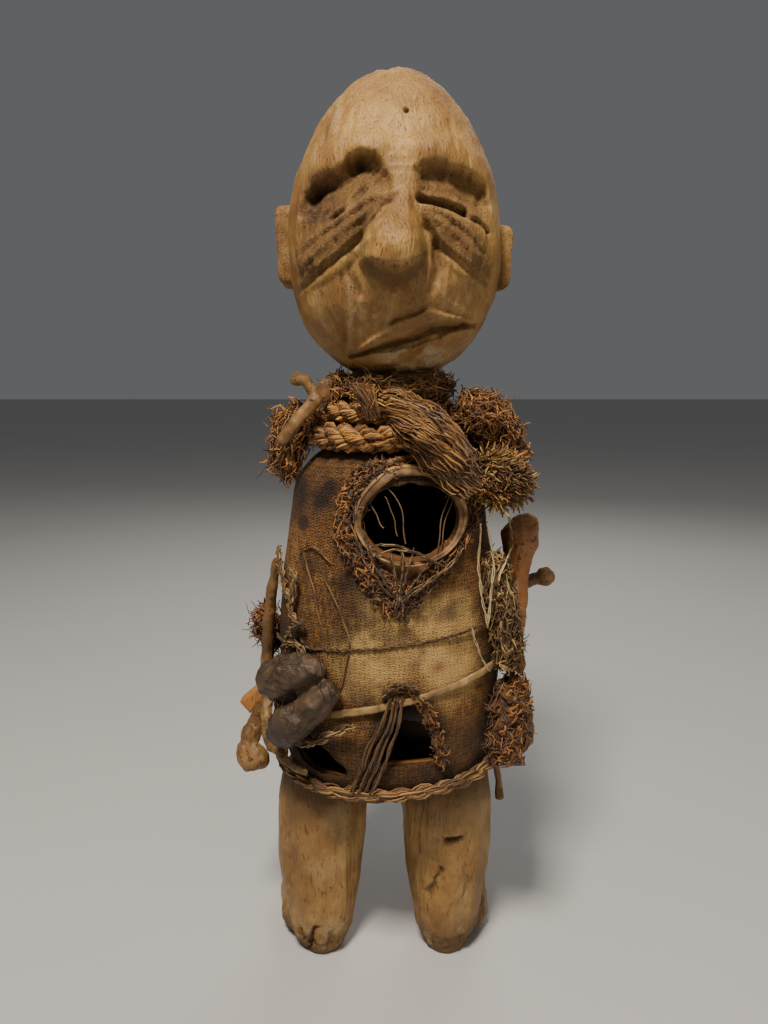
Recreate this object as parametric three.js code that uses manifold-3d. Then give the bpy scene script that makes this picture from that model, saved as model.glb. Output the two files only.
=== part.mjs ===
// A shrine figure: a carved wooden head and two kneeling wooden legs on a hollow calabash trunk,
// which is wrapped in sackcloth and bound with cane, rope, straw, hide and bones.
// Millimetres. +X is the viewer's right, +Y goes away from the viewer and +Z is up.
import * as THREE from 'three';
import { mergeVertices } from 'three/addons/utils/BufferGeometryUtils.js';
import Module from 'manifold-3d';

const wasm = await Module();
wasm.setup();

// Clearance left between two pieces that touch, and the least that a cut leaves
const GAP = 0.4;
const CUT_GAP = 0.34;
// Sides of the trunk's facets, which its hoops share
const TRUNK_SIDES = 24;

// Trunk: a calabash standing on the legs, a little flattened from front to back
const TRUNK_X = 4;
const GOURD_HEIGHT = 300;
const GOURD_RADIUS = 88;
const GOURD_DEPTH_SHARE = 0.84;
const GOURD_WALL = 6;
const COVER_THICKNESS = 4;
// Share of the gourd's height, share of its radius
const GOURD_PROFILE = [
  [0, 0.62], [0.04, 0.84], [0.1, 0.96], [0.25, 1], [0.5, 0.965],
  [0.8, 0.83], [0.87, 0.73], [0.92, 0.53], [0.96, 0.43], [1, 0.4],
];
const COVER_FROM = 0.05;
const COVER_TO = 0.975;

// Legs: thigh upright, knee on the ground, calf folded back along the ground
const LEG_HEIGHT = 150;
const LEG_SPREAD = 106;
const THIGH_WIDTH = 79;
const KNEE_WIDTH = 46;
const CALF_WIDTH = 44;
const CALF_LENGTH = 118;

// Head and neck
const HEAD_X = 8;
const HEAD_HEIGHT = 228;
const HEAD_WIDTH = 162;
const HEAD_DEPTH = 168;
const NECK_LENGTH = 29;
const NECK_RADIUS = 34;
const PLUG_CLEARANCE = 2;
const PLUG_LENGTH = 34;
const EAR_HEIGHT = 62;
const EAR_THICKNESS = 20;

// Cane, rope and cord
const BASE_HOOP_THICKNESS = 10;
const WINDOW_HOOP_WIDTH = 9;
const WINDOW_HOOP_THICKNESS = 5;
const SPLINT_WIDTH = 4.6;
const SPLINT_THICKNESS = 3;
const LOWER_ROPE_THICKNESS = 22;
const UPPER_ROPE_THICKNESS = 18;
const ROPE_STRANDS = 3;
const STRAND_DEPTH = 0.16;
const BELLY_CORD_THICKNESS = 3.4;
const BAND_WIDTH = 7;
const BAND_THICKNESS = 2.6;
const LASHING_THICKNESS = 3.2;
const LASHING_CORDS = 5;
const RUFF_THICKNESS = 15;

// Bones
const ARM_BONE_RADIUS = 11;
const REAR_BONE_RADIUS = 6.5;
const SIDE_BONE_RADIUS = 5.6;
const SHOULDER_BONE_RADIUS = 6;
const SMALL_BONE_RADIUS = 3.4;
const PEG_SIDE = 14;

const COLOURS = {
  wood: 0xb08a54,
  legs: 0x9c7640,
  gourd: 0x5a3218,
  sackcloth: 0x8a5f2e,
  cane: 0x8f6a3c,
  rope: 0xa4742f,
  straw: 0x7a4d22,
  raffia: 0x8c5f33,
  twine: 0x6b4f30,
  bone: 0x8d6b43,
  redBone: 0x8a4a22,
  hide: 0x4b3d33,
  peg: 0xa35a24,
};

const trunkBase = LEG_HEIGHT;
const rimLevel = trunkBase + GOURD_HEIGHT;
const chinLevel = rimLevel + NECK_LENGTH;
const coverInside = GAP;
const coverOutside = coverInside + COVER_THICKNESS;
const onCover = coverOutside + GAP;

const radians = THREE.MathUtils.degToRad;
const { clamp, smoothstep } = THREE.MathUtils;

// A closed three.js geometry as a solid that can be joined and cut
function solidOf(geometry) {
  const bare = geometry.index ? geometry.clone() : mergeVertices(geometry);
  bare.deleteAttribute('normal');
  bare.deleteAttribute('uv');
  const merged = mergeVertices(bare, 1e-4);
  return new wasm.Manifold(new wasm.Mesh({
    numProp: 3,
    vertProperties: new Float32Array(merged.attributes.position.array),
    triVerts: new Uint32Array(merged.index.array),
  }));
}

// The largest of a solid's separate bodies
function largestBody(solid) {
  const bodies = solid.decompose();
  return bodies.reduce((best, body) => (body.volume() > best.volume() ? body : best));
}

function geometryOf(solid) {
  const mesh = solid.getMesh();
  const geometry = new THREE.BufferGeometry();
  geometry.setAttribute('position', new THREE.BufferAttribute(mesh.vertProperties, mesh.numProp));
  geometry.setIndex(new THREE.BufferAttribute(mesh.triVerts, 1));
  geometry.computeVertexNormals();
  return geometry;
}

function join(...solids) {
  return solids.reduce((whole, solid) => whole.add(solid));
}

// A geometry with every vertex moved by a function of its place
function reshape(geometry, place) {
  const at = geometry.attributes.position;
  const from = new THREE.Vector3();
  for (let i = 0; i < at.count; i += 1) {
    const to = place(from.fromBufferAttribute(at, i));
    at.setXYZ(i, to.x, to.y, to.z);
  }
  return geometry;
}

// Value at t of a smooth curve through evenly spaced values
function valueAlong(values, t) {
  const points = values.map((value) => new THREE.Vector3(value, 0, 0));
  return new THREE.CatmullRomCurve3(points).getPoint(t).x;
}

// A round or flattened limb along a smooth path. Each station is a place and a radius.
// flat is the thickness across the limb's broad side as a share of its width.
function limb(stations, options) {
  const { sides, rings, flat = 1, broad = [0, -1, 0], lumps = 0, grow = 0 } = options;
  const places = stations.map(([x, y, z]) => new THREE.Vector3(x, y, z));
  const path = new THREE.CatmullRomCurve3(places, false, 'centripetal');
  const radii = stations.map((station) => station[3] + grow);
  const length = path.getLength() + 2 * grow;
  const facing = new THREE.Vector3(...broad);
  const first = radii[0] / length;
  const last = radii[radii.length - 1] / length;
  return solidOf(reshape(new THREE.SphereGeometry(1, sides, rings), (from) => {
    const t = (1 - from.y) / 2;
    const along = path.getTangent(t).normalize();
    const side = new THREE.Vector3().crossVectors(facing, along).normalize();
    const lift = new THREE.Vector3().crossVectors(along, side);
    const start = Math.min(1, t / first);
    const end = Math.min(1, (1 - t) / last);
    const around = Math.atan2(from.z, from.x);
    const rounding = Math.sqrt(start * (2 - start) * end * (2 - end));
    const lumpy = 1 + lumps * Math.sin(3 * around + 9 * t) * Math.sin(14 * t);
    const reach = valueAlong(radii, t) * rounding * lumpy;
    const thin = flat + ((1 - flat) * grow) / (radii[0] + grow);
    const stretch = grow * (2 * t - 1);
    return path.getPoint(t)
      .addScaledVector(side, Math.cos(around) * reach)
      .addScaledVector(lift, Math.sin(around) * reach * thin)
      .addScaledVector(along, stretch);
  }));
}

function ball([x, y, z], radius, grow = 0) {
  const round = new THREE.SphereGeometry(radius + grow, 7, 5);
  return solidOf(round.translate(x, y, z));
}

// A block on its centre, turned about the Y axis
function block([x, y, z], [width, depth, height], turn = 0, grow = 0) {
  const box = new THREE.BoxGeometry(width + 2 * grow, depth + 2 * grow, height + 2 * grow);
  return solidOf(box.rotateY(radians(turn)).translate(x, y, z));
}

// The trunk's surface

const profileCurve = new THREE.SplineCurve(
  GOURD_PROFILE.map(([height, radius]) => new THREE.Vector2(radius * GOURD_RADIUS, height * GOURD_HEIGHT)),
);
const lastStation = GOURD_PROFILE.length - 1;

// Radius and level of one station of the profile, lifted off the skin
function stationPoint(station, lift) {
  const point = profileCurve.getPoint(station / lastStation);
  const along = profileCurve.getTangent(station / lastStation);
  return new THREE.Vector2(point.x + along.y * lift, point.y - along.x * lift);
}

// Radius and level at a share of the gourd's height, on the straight run between two stations
function profilePoint(heightShare, lift) {
  const above = GOURD_PROFILE.findIndex(([height]) => height >= heightShare);
  const upper = clamp(above < 0 ? lastStation : above, 1, lastStation);
  const [from, to] = [GOURD_PROFILE[upper - 1][0], GOURD_PROFILE[upper][0]];
  const share = (heightShare - from) / (to - from);
  return stationPoint(upper - 1, lift).lerp(stationPoint(upper, lift), share);
}

// A place on the trunk: degrees round from the front towards +X, share of height, lift off the skin
function onTrunk(degrees, heightShare, lift) {
  const { x: radius, y: level } = profilePoint(heightShare, lift);
  const angle = radians(degrees);
  return [
    TRUNK_X + radius * Math.sin(angle),
    -radius * GOURD_DEPTH_SHARE * Math.cos(angle),
    trunkBase + level,
  ];
}

// A place on the trunk's front, given as it is seen from the front
function onFront(x, z, lift) {
  const heightShare = clamp((z - trunkBase) / GOURD_HEIGHT, 0, 1);
  const radius = profilePoint(heightShare, lift).x;
  const degrees = THREE.MathUtils.radToDeg(Math.asin(clamp((x - TRUNK_X) / radius, -1, 1)));
  return onTrunk(degrees, heightShare, lift);
}

function trunkLathe(profile) {
  const lathe = new THREE.LatheGeometry(profile, TRUNK_SIDES).rotateX(Math.PI / 2);
  lathe.scale(1, GOURD_DEPTH_SHARE, 1);
  return solidOf(lathe.translate(TRUNK_X, 0, trunkBase));
}

// Points of the profile between two shares of the height, lifted off the skin
function profileRun(from, to, lift) {
  const between = GOURD_PROFILE.map(([height]) => height).filter((height) => height > from && height < to);
  return [from, ...between, to].map((height) => profilePoint(height, lift));
}

// The whole trunk as one block, lifted off the skin
function trunkBlock(lift, from = 0, to = 1) {
  const run = profileRun(from, to, lift);
  const ends = [new THREE.Vector2(0, run[0].y), new THREE.Vector2(0, run[run.length - 1].y)];
  return trunkLathe([ends[0], ...run, ends[1]]);
}

// Openings, as outlines seen from the front. Each grows or shrinks by a margin.

const WINDOW_CENTRE = { x: 20, height: 0.76 };
const WINDOW_SIZE = { width: 70, height: 55 };
const CLOTH_WINDOW_MARGIN = 4;
const CLOTH_WINDOW_TIP = 0.573;
const ARCH_CENTRE_X = 18;
const ARCH_FROM = 0.14;
const ARCH_TO = 0.32;
const ARCH_WIDTH = 43;
const CLOTH_ARCH_MARGIN = 2;
const SLOT_EDGE = [[-74, 0.165], [-62, 0.2], [-26, 0.115], [-34, 0.085], [-62, 0.095]];
const SLOT_MARGIN = 3;

function windowOutline(margin) {
  const shape = new THREE.Shape();
  const z = trunkBase + WINDOW_CENTRE.height * GOURD_HEIGHT;
  const half = WINDOW_SIZE.width / 2 + margin;
  shape.absellipse(WINDOW_CENTRE.x, z, half, WINDOW_SIZE.height / 2 + margin, 0, 2 * Math.PI);
  return shape;
}

// The tear in the cloth round the window, running down to a point
function tearOutline(margin) {
  const shape = new THREE.Shape();
  const { x } = WINDOW_CENTRE;
  const z = trunkBase + WINDOW_CENTRE.height * GOURD_HEIGHT;
  const tip = trunkBase + CLOTH_WINDOW_TIP * GOURD_HEIGHT - margin;
  const half = WINDOW_SIZE.width / 2 + CLOTH_WINDOW_MARGIN + margin;
  const top = z + WINDOW_SIZE.height / 2 + margin;
  shape.moveTo(x - WINDOW_SIZE.width / 8, tip);
  shape.quadraticCurveTo(x + half, z - WINDOW_SIZE.height / 2, x + half, z);
  shape.quadraticCurveTo(x + half, top, x, top);
  shape.quadraticCurveTo(x - half, top, x - half, z);
  shape.quadraticCurveTo(x - half, z - WINDOW_SIZE.height / 2, x - WINDOW_SIZE.width / 8, tip);
  return shape;
}

function archOutline(margin) {
  const shape = new THREE.Shape();
  const foot = trunkBase + ARCH_FROM * GOURD_HEIGHT - margin;
  const top = trunkBase + ARCH_TO * GOURD_HEIGHT + margin;
  const half = ARCH_WIDTH / 2 + margin;
  shape.moveTo(ARCH_CENTRE_X - half, foot);
  shape.lineTo(ARCH_CENTRE_X + half, foot);
  shape.quadraticCurveTo(ARCH_CENTRE_X + half * 0.75, top, ARCH_CENTRE_X, top);
  shape.quadraticCurveTo(ARCH_CENTRE_X - half * 0.75, top, ARCH_CENTRE_X - half, foot);
  return shape;
}

// The gap under the cloth's torn lower edge
function slotOutline(margin) {
  const middle = new THREE.Vector2();
  const corners = SLOT_EDGE.map(([x, height]) => new THREE.Vector2(x, trunkBase + height * GOURD_HEIGHT));
  corners.forEach((corner) => middle.addScaledVector(corner, 1 / corners.length));
  const moved = corners.map((corner) => {
    const away = corner.clone().sub(middle);
    return corner.clone().addScaledVector(away.normalize(), margin);
  });
  return new THREE.Shape(moved);
}

// The neck's peg in the gourd's mouth, wider by a margin
function neckPlug(margin) {
  const mouth = GOURD_PROFILE[lastStation][1] * GOURD_RADIUS - GOURD_WALL;
  const radius = mouth - PLUG_CLEARANCE + margin;
  const length = PLUG_LENGTH + 2 * margin;
  const plug = new THREE.CylinderGeometry(radius, radius * 0.9, length, 14).rotateX(Math.PI / 2);
  plug.scale(1, GOURD_DEPTH_SHARE, 1);
  return solidOf(plug.translate(TRUNK_X, 0, rimLevel + 2 * GAP - PLUG_LENGTH / 2));
}

// An outline seen from the front, cut back as far as the trunk's axis
function frontPrism(outline) {
  const depth = 2 * GOURD_RADIUS;
  const prism = new THREE.ExtrudeGeometry(outline, { depth, bevelEnabled: false, curveSegments: 5 });
  return solidOf(prism.rotateX(Math.PI / 2));
}

function cutOpenings(solid, shrink) {
  const gourdOpenings = [windowOutline(-shrink), archOutline(-shrink), slotOutline(-SLOT_MARGIN - shrink)];
  return gourdOpenings.reduce((rest, outline) => rest.subtract(frontPrism(outline)), solid);
}

function cutClothOpenings(solid, shrink) {
  const outlines = [tearOutline(-shrink), archOutline(CLOTH_ARCH_MARGIN - shrink), slotOutline(-shrink)];
  return outlines.reduce((rest, outline) => rest.subtract(frontPrism(outline)), solid);
}

function calabash(grow) {
  if (grow > 0) return cutOpenings(trunkBlock(grow), grow).subtract(neckPlug(PLUG_CLEARANCE - grow));
  const outer = profileRun(0, 1, 0);
  const inner = profileRun(GOURD_PROFILE[1][0], 1, -GOURD_WALL).reverse();
  const axis = [new THREE.Vector2(0, 0), new THREE.Vector2(0, GOURD_WALL)];
  return cutOpenings(trunkLathe([axis[0], ...outer, ...inner, axis[1]]), 0);
}

function sackclothCover(grow) {
  if (grow > 0) {
    const margin = grow / GOURD_HEIGHT;
    return cutClothOpenings(trunkBlock(coverOutside + grow, COVER_FROM - margin, COVER_TO + margin), grow);
  }
  const outer = profileRun(COVER_FROM, COVER_TO, coverOutside);
  const inner = profileRun(COVER_FROM, COVER_TO, coverInside).reverse();
  return cutClothOpenings(trunkLathe([...outer, ...inner, outer[0]]), 0);
}

// Hoops, bands and ropes

// A closed hoop: centreAt gives its middle and its two section directions at an angle
function hoop(centreAt, { around = TRUNK_SIDES, sides = 4, section }) {
  const middle = 10;
  return solidOf(reshape(new THREE.TorusGeometry(middle, 1, sides, around), (from) => {
    const turn = Math.atan2(from.y, from.x);
    const side = Math.atan2(from.z, Math.hypot(from.x, from.y) - middle);
    const { centre, across, up } = centreAt(turn);
    const [outwards, upwards] = section(turn, side);
    return centre.clone().addScaledVector(across, outwards).addScaledVector(up, upwards);
  }));
}

// A hoop that lies round the trunk, at a height that may vary with the angle
function trunkHoop(heightAt, lift, options) {
  return hoop((turn) => {
    const degrees = THREE.MathUtils.radToDeg(turn);
    const height = heightAt(turn);
    const centre = new THREE.Vector3(...onTrunk(degrees, height, lift));
    const nearer = new THREE.Vector3(...onTrunk(degrees, height, lift - 1));
    const across = centre.clone().sub(nearer);
    const ahead = new THREE.Vector3(Math.cos(turn), Math.sin(turn), 0);
    return { centre, across, up: new THREE.Vector3().crossVectors(across, ahead).normalize() };
  }, options);
}

// A level ring round the neck, tilted towards the front
function neckRing(radius, level, tilt, options) {
  return hoop((turn) => {
    const across = new THREE.Vector3(Math.sin(turn), -Math.cos(turn), 0);
    const centre = new THREE.Vector3(TRUNK_X, 0, level - tilt * Math.cos(turn));
    centre.addScaledVector(across, radius);
    return { centre, across, up: new THREE.Vector3(0, 0, 1) };
  }, options);
}

function roundSection(radius) {
  return (turn, side) => [radius * Math.cos(side), radius * Math.sin(side)];
}

// A four-cornered section
function flatSection(thickness, width) {
  return (turn, side) => {
    const corner = side + Math.PI / 4;
    return [(thickness / 2) * Math.sign(Math.cos(corner)), (width / 2) * Math.sign(Math.sin(corner))];
  };
}

function ovalSection(thickness, width) {
  return (turn, side) => [(thickness / 2) * Math.cos(side), (width / 2) * Math.sin(side)];
}

// A laid rope's section: strands that wind round it
function ropeSection(radius, strands, turns, depth) {
  return (turn, side) => {
    const wave = Math.abs(Math.cos((strands * side - turns * turn) / 2));
    const reach = radius * (1 - depth + depth * wave);
    return [reach * Math.cos(side), reach * Math.sin(side)];
  };
}

const BASE_HOOP_HEIGHT = 0.09;
const BELLY_CORD_HEIGHT = 0.45;
const BAND_HEIGHT = 0.292;

function baseHoop(grow) {
  const radius = BASE_HOOP_THICKNESS / 2;
  const heightAt = (turn) => BASE_HOOP_HEIGHT - 0.018 * Math.cos(turn) + 0.012 * Math.sin(turn);
  const section = ropeSection(radius + grow, 2, 26, grow > 0 ? 0 : 0.2);
  return trunkHoop(heightAt, onCover + radius, { around: 2 * TRUNK_SIDES, section });
}

function bellyCord(grow) {
  const radius = BELLY_CORD_THICKNESS / 2;
  const heightAt = (turn) => BELLY_CORD_HEIGHT + 0.035 * Math.sin(turn);
  return trunkHoop(heightAt, onCover + radius, { section: roundSection(radius + grow) });
}

function crossBand(grow) {
  const heightAt = (turn) => BAND_HEIGHT + 0.072 * Math.sin(turn + radians(8));
  const section = flatSection(BAND_THICKNESS + 2 * grow, BAND_WIDTH + 2 * grow);
  return trunkHoop(heightAt, onCover + (BAND_THICKNESS + GAP) / 2, { section });
}

// The bent cane round the window, wide at the top and right, thin at the left
function windowHoop(grow) {
  const lift = onCover + GAP + WINDOW_HOOP_THICKNESS / 2;
  const level = trunkBase + WINDOW_CENTRE.height * GOURD_HEIGHT;
  const halfWidth = (WINDOW_SIZE.width + WINDOW_HOOP_WIDTH) / 2;
  const halfHeight = (WINDOW_SIZE.height + WINDOW_HOOP_WIDTH) / 2;
  return hoop((turn) => {
    const x = WINDOW_CENTRE.x + halfWidth * Math.cos(turn);
    const z = level + halfHeight * Math.sin(turn);
    const centre = new THREE.Vector3(...onFront(x, z, lift));
    const nearer = new THREE.Vector3(...onFront(x, z, lift - 1));
    const up = centre.clone().sub(nearer);
    const across = new THREE.Vector3(Math.cos(turn), 0, Math.sin(turn));
    across.addScaledVector(up, -across.dot(up) / up.lengthSq()).normalize();
    return { centre, across, up };
  }, {
    sides: 5,
    section: (turn, side) => {
      const width = WINDOW_HOOP_WIDTH * (0.8 + 0.2 * Math.cos(turn - radians(50)));
      return ovalSection(width + 2 * grow, WINDOW_HOOP_THICKNESS + 2 * grow)(turn, side);
    },
  });
}

// A thin split cane above the window's hoop
function hoopSplint(grow) {
  const lift = onCover + 2 * GAP + SPLINT_THICKNESS / 2;
  const level = trunkBase + WINDOW_CENTRE.height * GOURD_HEIGHT;
  const reach = WINDOW_SIZE.height / 2 + WINDOW_HOOP_WIDTH + SPLINT_WIDTH / 2 + 2 * GAP;
  const stations = [145, 118, 90, 62, 40].map((degrees) => {
    const x = WINDOW_CENTRE.x + (WINDOW_SIZE.width / 2 + 6) * Math.cos(radians(degrees));
    const z = level + reach * Math.sin(radians(degrees));
    return [...onFront(x, z, lift), SPLINT_WIDTH / 2];
  });
  return limb(stations, { sides: 6, rings: 8, flat: SPLINT_THICKNESS / SPLINT_WIDTH, grow });
}

const lowerRopeRadius = LOWER_ROPE_THICKNESS / 2;
const upperRopeRadius = UPPER_ROPE_THICKNESS / 2;
const upperRopeLevel = rimLevel + lowerRopeRadius * 0.68;

function lowerRope(grow) {
  const heightAt = (turn) => 0.93 - 0.012 * Math.cos(turn);
  const section = ropeSection(lowerRopeRadius + grow, ROPE_STRANDS, 22, grow > 0 ? 0 : STRAND_DEPTH);
  return trunkHoop(heightAt, onCover + lowerRopeRadius, { around: 2 * TRUNK_SIDES, sides: 5, section });
}

function upperRope(grow) {
  const section = ropeSection(upperRopeRadius + grow, ROPE_STRANDS, 20, grow > 0 ? 0 : STRAND_DEPTH);
  const radius = NECK_RADIUS + GAP + upperRopeRadius;
  return neckRing(radius, upperRopeLevel, 2, { around: 32, sides: 5, section });
}

// Loose straw standing up round the neck under the chin
function strawRuff(grow) {
  const radius = RUFF_THICKNESS / 2;
  const level = upperRopeLevel + upperRopeRadius + radius * 1.15;
  return neckRing(NECK_RADIUS + GAP + radius, level, 3, {
    sides: 5,
    section: (turn, side) => {
      const reach = radius * (1 + 0.18 * Math.sin(7 * turn + 2 * side)) + grow;
      return [reach * Math.cos(side), reach * Math.sin(side)];
    },
  });
}

// Head

const FRONT = -1;

// A stroke of the knife or a raised ridge on the face. Places and widths are shares of the head's
// height, measured from its middle. rise is how far the wood stands out, and is negative in a hollow.
const FACE_STROKES = [
  { name: 'left eye hollow', path: [[-0.23, 0.065], [-0.09, 0.11]], width: 0.075, rise: -0.062 },
  { name: 'right eye hollow', path: [[0.11, 0.075], [0.24, 0.05]], width: 0.066, rise: -0.055 },
  { name: 'left brow', path: [[-0.27, 0.14], [-0.16, 0.2], [-0.05, 0.185]], width: 0.036, rise: 0.02 },
  { name: 'right brow', path: [[0.07, 0.165], [0.26, 0.14]], width: 0.036, rise: 0.018 },
  { name: 'left eye', path: [[-0.09, -0.02], [-0.25, -0.13]], width: 0.042, rise: 0.02 },
  { name: 'right eye', path: [[0.13, -0.035], [0.25, -0.13]], width: 0.042, rise: 0.02 },
  { name: 'nose bridge', path: [[0.02, 0.06], [0.005, -0.07]], width: 0.045, rise: 0.045 },
  { name: 'nose tip', path: [[-0.01, -0.1], [-0.015, -0.15]], width: 0.08, rise: 0.075 },
  { name: 'nose wings', path: [[-0.09, -0.165], [0.065, -0.155]], width: 0.036, rise: 0.03 },
  { name: 'right cheek', path: [[0.17, -0.22], [0.23, -0.26]], width: 0.09, rise: 0.02 },
  { name: 'left cheek', path: [[-0.2, -0.24], [-0.22, -0.3]], width: 0.09, rise: 0.014 },
  { name: 'upper lip hollow', path: [[0.09, -0.325], [0.2, -0.3]], width: 0.04, rise: -0.035 },
  { name: 'mouth cut left', path: [[-0.135, -0.405], [0.02, -0.37]], width: 0.028, rise: -0.024 },
  { name: 'mouth cut right', path: [[0.06, -0.36], [0.23, -0.31]], width: 0.028, rise: -0.024 },
  { name: 'lower lip', path: [[-0.06, -0.44], [0.12, -0.415]], width: 0.036, rise: 0.026 },
];

// Distance from a place to the nearest part of a path
function distanceToPath(x, z, path) {
  const place = new THREE.Vector3(x, 0, z);
  const nearest = new THREE.Vector3();
  let least = Infinity;
  for (let i = 0; i + 1 < path.length; i += 1) {
    const from = new THREE.Vector3(path[i][0], 0, path[i][1]);
    const to = new THREE.Vector3(path[i + 1][0], 0, path[i + 1][1]);
    new THREE.Line3(from, to).closestPointToPoint(place, true, nearest);
    least = Math.min(least, nearest.distanceTo(place));
  }
  return least;
}

// How far the face stands out at a place given in shares of the head's height from its middle
function faceRelief(x, z) {
  return FACE_STROKES.reduce((sum, { path, width, rise }) => {
    const away = distanceToPath(x, z, path) / width;
    return sum + rise * Math.exp(-(away ** 3));
  }, 0);
}

// The egg of the head: broad in the jaw, narrow at the crown, with a flatter nape
function headPlace(from) {
  const height = (1 + from.z) / 2;
  const fullness = 1 + 0.24 * (0.5 - height);
  const nape = from.y > 0 ? 1 - 0.3 * smoothstep(1 - height, 0.55, 1) : 1;
  const x = (from.x * fullness * HEAD_WIDTH) / 2;
  const z = (height - 0.5) * HEAD_HEIGHT;
  const y = (from.y * fullness * nape * HEAD_DEPTH) / 2;
  const facing = smoothstep(FRONT * from.y, 0.02, 0.45);
  const relief = faceRelief(x / HEAD_HEIGHT, z / HEAD_HEIGHT) * HEAD_HEIGHT * facing;
  return new THREE.Vector3(x, y + FRONT * relief, z);
}

// A ball with its poles up and down and its meridians gathered on the face
function headBall(across, up) {
  const round = new THREE.SphereGeometry(1, across, up).rotateX(Math.PI / 2);
  return reshape(round, (from) => {
    const flat = Math.hypot(from.x, from.y);
    const angle = Math.atan2(from.x, FRONT * from.y);
    const gathered = angle - 0.34 * Math.sin(angle);
    return new THREE.Vector3(flat * Math.sin(gathered), FRONT * flat * Math.cos(gathered), from.z);
  });
}

// Two slabs on the sides of the head, the left one with a groove down its front
function ears(grow) {
  const level = HEAD_HEIGHT * -0.05;
  const reach = HEAD_WIDTH / 2 - 1;
  const depth = EAR_THICKNESS * 1.3;
  const lean = 3;
  const left = block([-reach, 6, level], [EAR_THICKNESS, depth, EAR_HEIGHT], -lean, grow);
  const rightSize = [EAR_THICKNESS, EAR_THICKNESS, EAR_HEIGHT * 0.8];
  const right = block([reach - 1, 4, level - 8], rightSize, lean + 1, grow);
  const grooveAt = [-reach - EAR_THICKNESS / 4, 6 - depth * 0.52, level];
  const groove = block(grooveAt, [EAR_THICKNESS * 0.16, depth * 0.2, EAR_HEIGHT * 1.2], -lean);
  return join(grow > 0 ? left : left.subtract(groove), right);
}

function head(grow) {
  const middle = chinLevel + HEAD_HEIGHT / 2;
  const egg = headBall(34, 27);
  const swollen = 1 + (2 * grow) / HEAD_WIDTH;
  const skull = solidOf(reshape(egg, headPlace)).scale([swollen, swollen, swollen]);
  const neckTop = -HEAD_HEIGHT * 0.36;
  const neckFoot = rimLevel + GAP - middle;
  const neckLength = neckTop - neckFoot;
  const neck = new THREE.CylinderGeometry(NECK_RADIUS * 0.92 + grow, NECK_RADIUS + grow, neckLength, 18);
  neck.rotateX(Math.PI / 2).translate(TRUNK_X - HEAD_X, 0, neckFoot + neckLength / 2);
  return join(skull, ears(grow), solidOf(neck)).translate([HEAD_X, 0, middle]).add(neckPlug(grow));
}

// Legs. side is -1 for the viewer's left and 1 for the right.
function leg(side) {
  const x = side * LEG_SPREAD / 2;
  const thigh = THIGH_WIDTH / 2;
  const knee = KNEE_WIDTH / 2;
  const calf = CALF_WIDTH / 2;
  return (grow) => {
    const upper = limb([
      [x, 4, LEG_HEIGHT * 1.17, thigh * 0.98],
      [x, 1, LEG_HEIGHT * 0.86, thigh],
      [x + side * 2, -6, LEG_HEIGHT * 0.56, thigh * 0.97],
      [x + side, -14, LEG_HEIGHT * 0.32, thigh * 0.8],
      [x, -22, LEG_HEIGHT * -0.06, knee],
    ], { sides: 11, rings: 9, lumps: 0.02, grow });
    const lower = limb([
      [x + side * 18, -22, LEG_HEIGHT * 0.11, calf * 0.8],
      [x + side * 20, 12, LEG_HEIGHT * 0.13, calf],
      [x + side * 18, CALF_LENGTH * 0.5, LEG_HEIGHT * 0.12, calf],
      [x + side * 12, CALF_LENGTH - 26, LEG_HEIGHT * 0.09, calf * 0.72],
    ], { sides: 9, rings: 7, broad: [0, 0, 1], lumps: 0.03, grow });
    const ground = block([x, 0, -LEG_HEIGHT / 2 - grow], [3 * LEG_SPREAD, 4 * CALF_LENGTH, LEG_HEIGHT]);
    return join(upper, lower).subtract(ground);
  };
}

// Lashings

// Cords that hang from the band down to the base hoop, gathered at the bottom
function frontLashing(grow) {
  const lift = onCover + BAND_THICKNESS + GAP + LASHING_THICKNESS / 2;
  const cords = Array.from({ length: LASHING_CORDS }, (_, i) => {
    const spread = i - (LASHING_CORDS - 1) / 2;
    return limb([
      [...onFront(9 + spread * 3.2, trunkBase + 0.335 * GOURD_HEIGHT, lift), LASHING_THICKNESS / 2],
      [...onFront(-2 + spread * 3.4, trunkBase + 0.22 * GOURD_HEIGHT, lift + 1.5), LASHING_THICKNESS / 2],
      [...onFront(-17 + spread * 2.6, trunkBase + 0.12 * GOURD_HEIGHT, lift + 1), LASHING_THICKNESS / 2],
    ], { sides: 4, rings: 4, grow });
  });
  const knot = limb([
    [...onFront(1, trunkBase + 0.345 * GOURD_HEIGHT, lift), LASHING_THICKNESS],
    [...onFront(18, trunkBase + 0.345 * GOURD_HEIGHT, lift), LASHING_THICKNESS],
  ], { sides: 6, rings: 4, grow });
  return join(...cords, knot);
}

// Twine drawn together in a V under the window
function upperLashing(grow) {
  const radius = LASHING_THICKNESS / 2;
  const over = onCover + WINDOW_HOOP_THICKNESS + GAP + radius;
  const level = (share) => trunkBase + share * GOURD_HEIGHT;
  const strand = (points) => limb(points, { sides: 4, rings: 5, grow });
  const tip = [...onFront(11, level(0.57), onCover + radius * 2), radius * 2.2];
  const at = (x, share, thicker = 1, lift = over) => [...onFront(x, level(share), lift), radius * thicker];
  return join(
    strand([at(-17, 0.74), at(-8, 0.65), tip]),
    strand([at(52, 0.655), at(30, 0.6), tip]),
    strand([at(22, 0.69), at(15, 0.63), tip]),
    strand([at(-13, 0.69), at(6, 0.695, 1.3, over + 1), at(30, 0.67, 1.3, over + 1), at(50, 0.63)]),
  );
}

// Straw, raffia and hide

function raffiaHank(grow) {
  return limb([
    [0, -48, rimLevel + 14, 13],
    [18, -64, rimLevel + 3, 20],
    [40, -66, rimLevel - 19, 23],
    [58, -62, rimLevel - 42, 19],
    [66, -58, rimLevel - 54, 10],
  ], { sides: 10, rings: 10, flat: 0.42, lumps: 0.05, broad: [0.4, -1, 0.35], grow });
}

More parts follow.
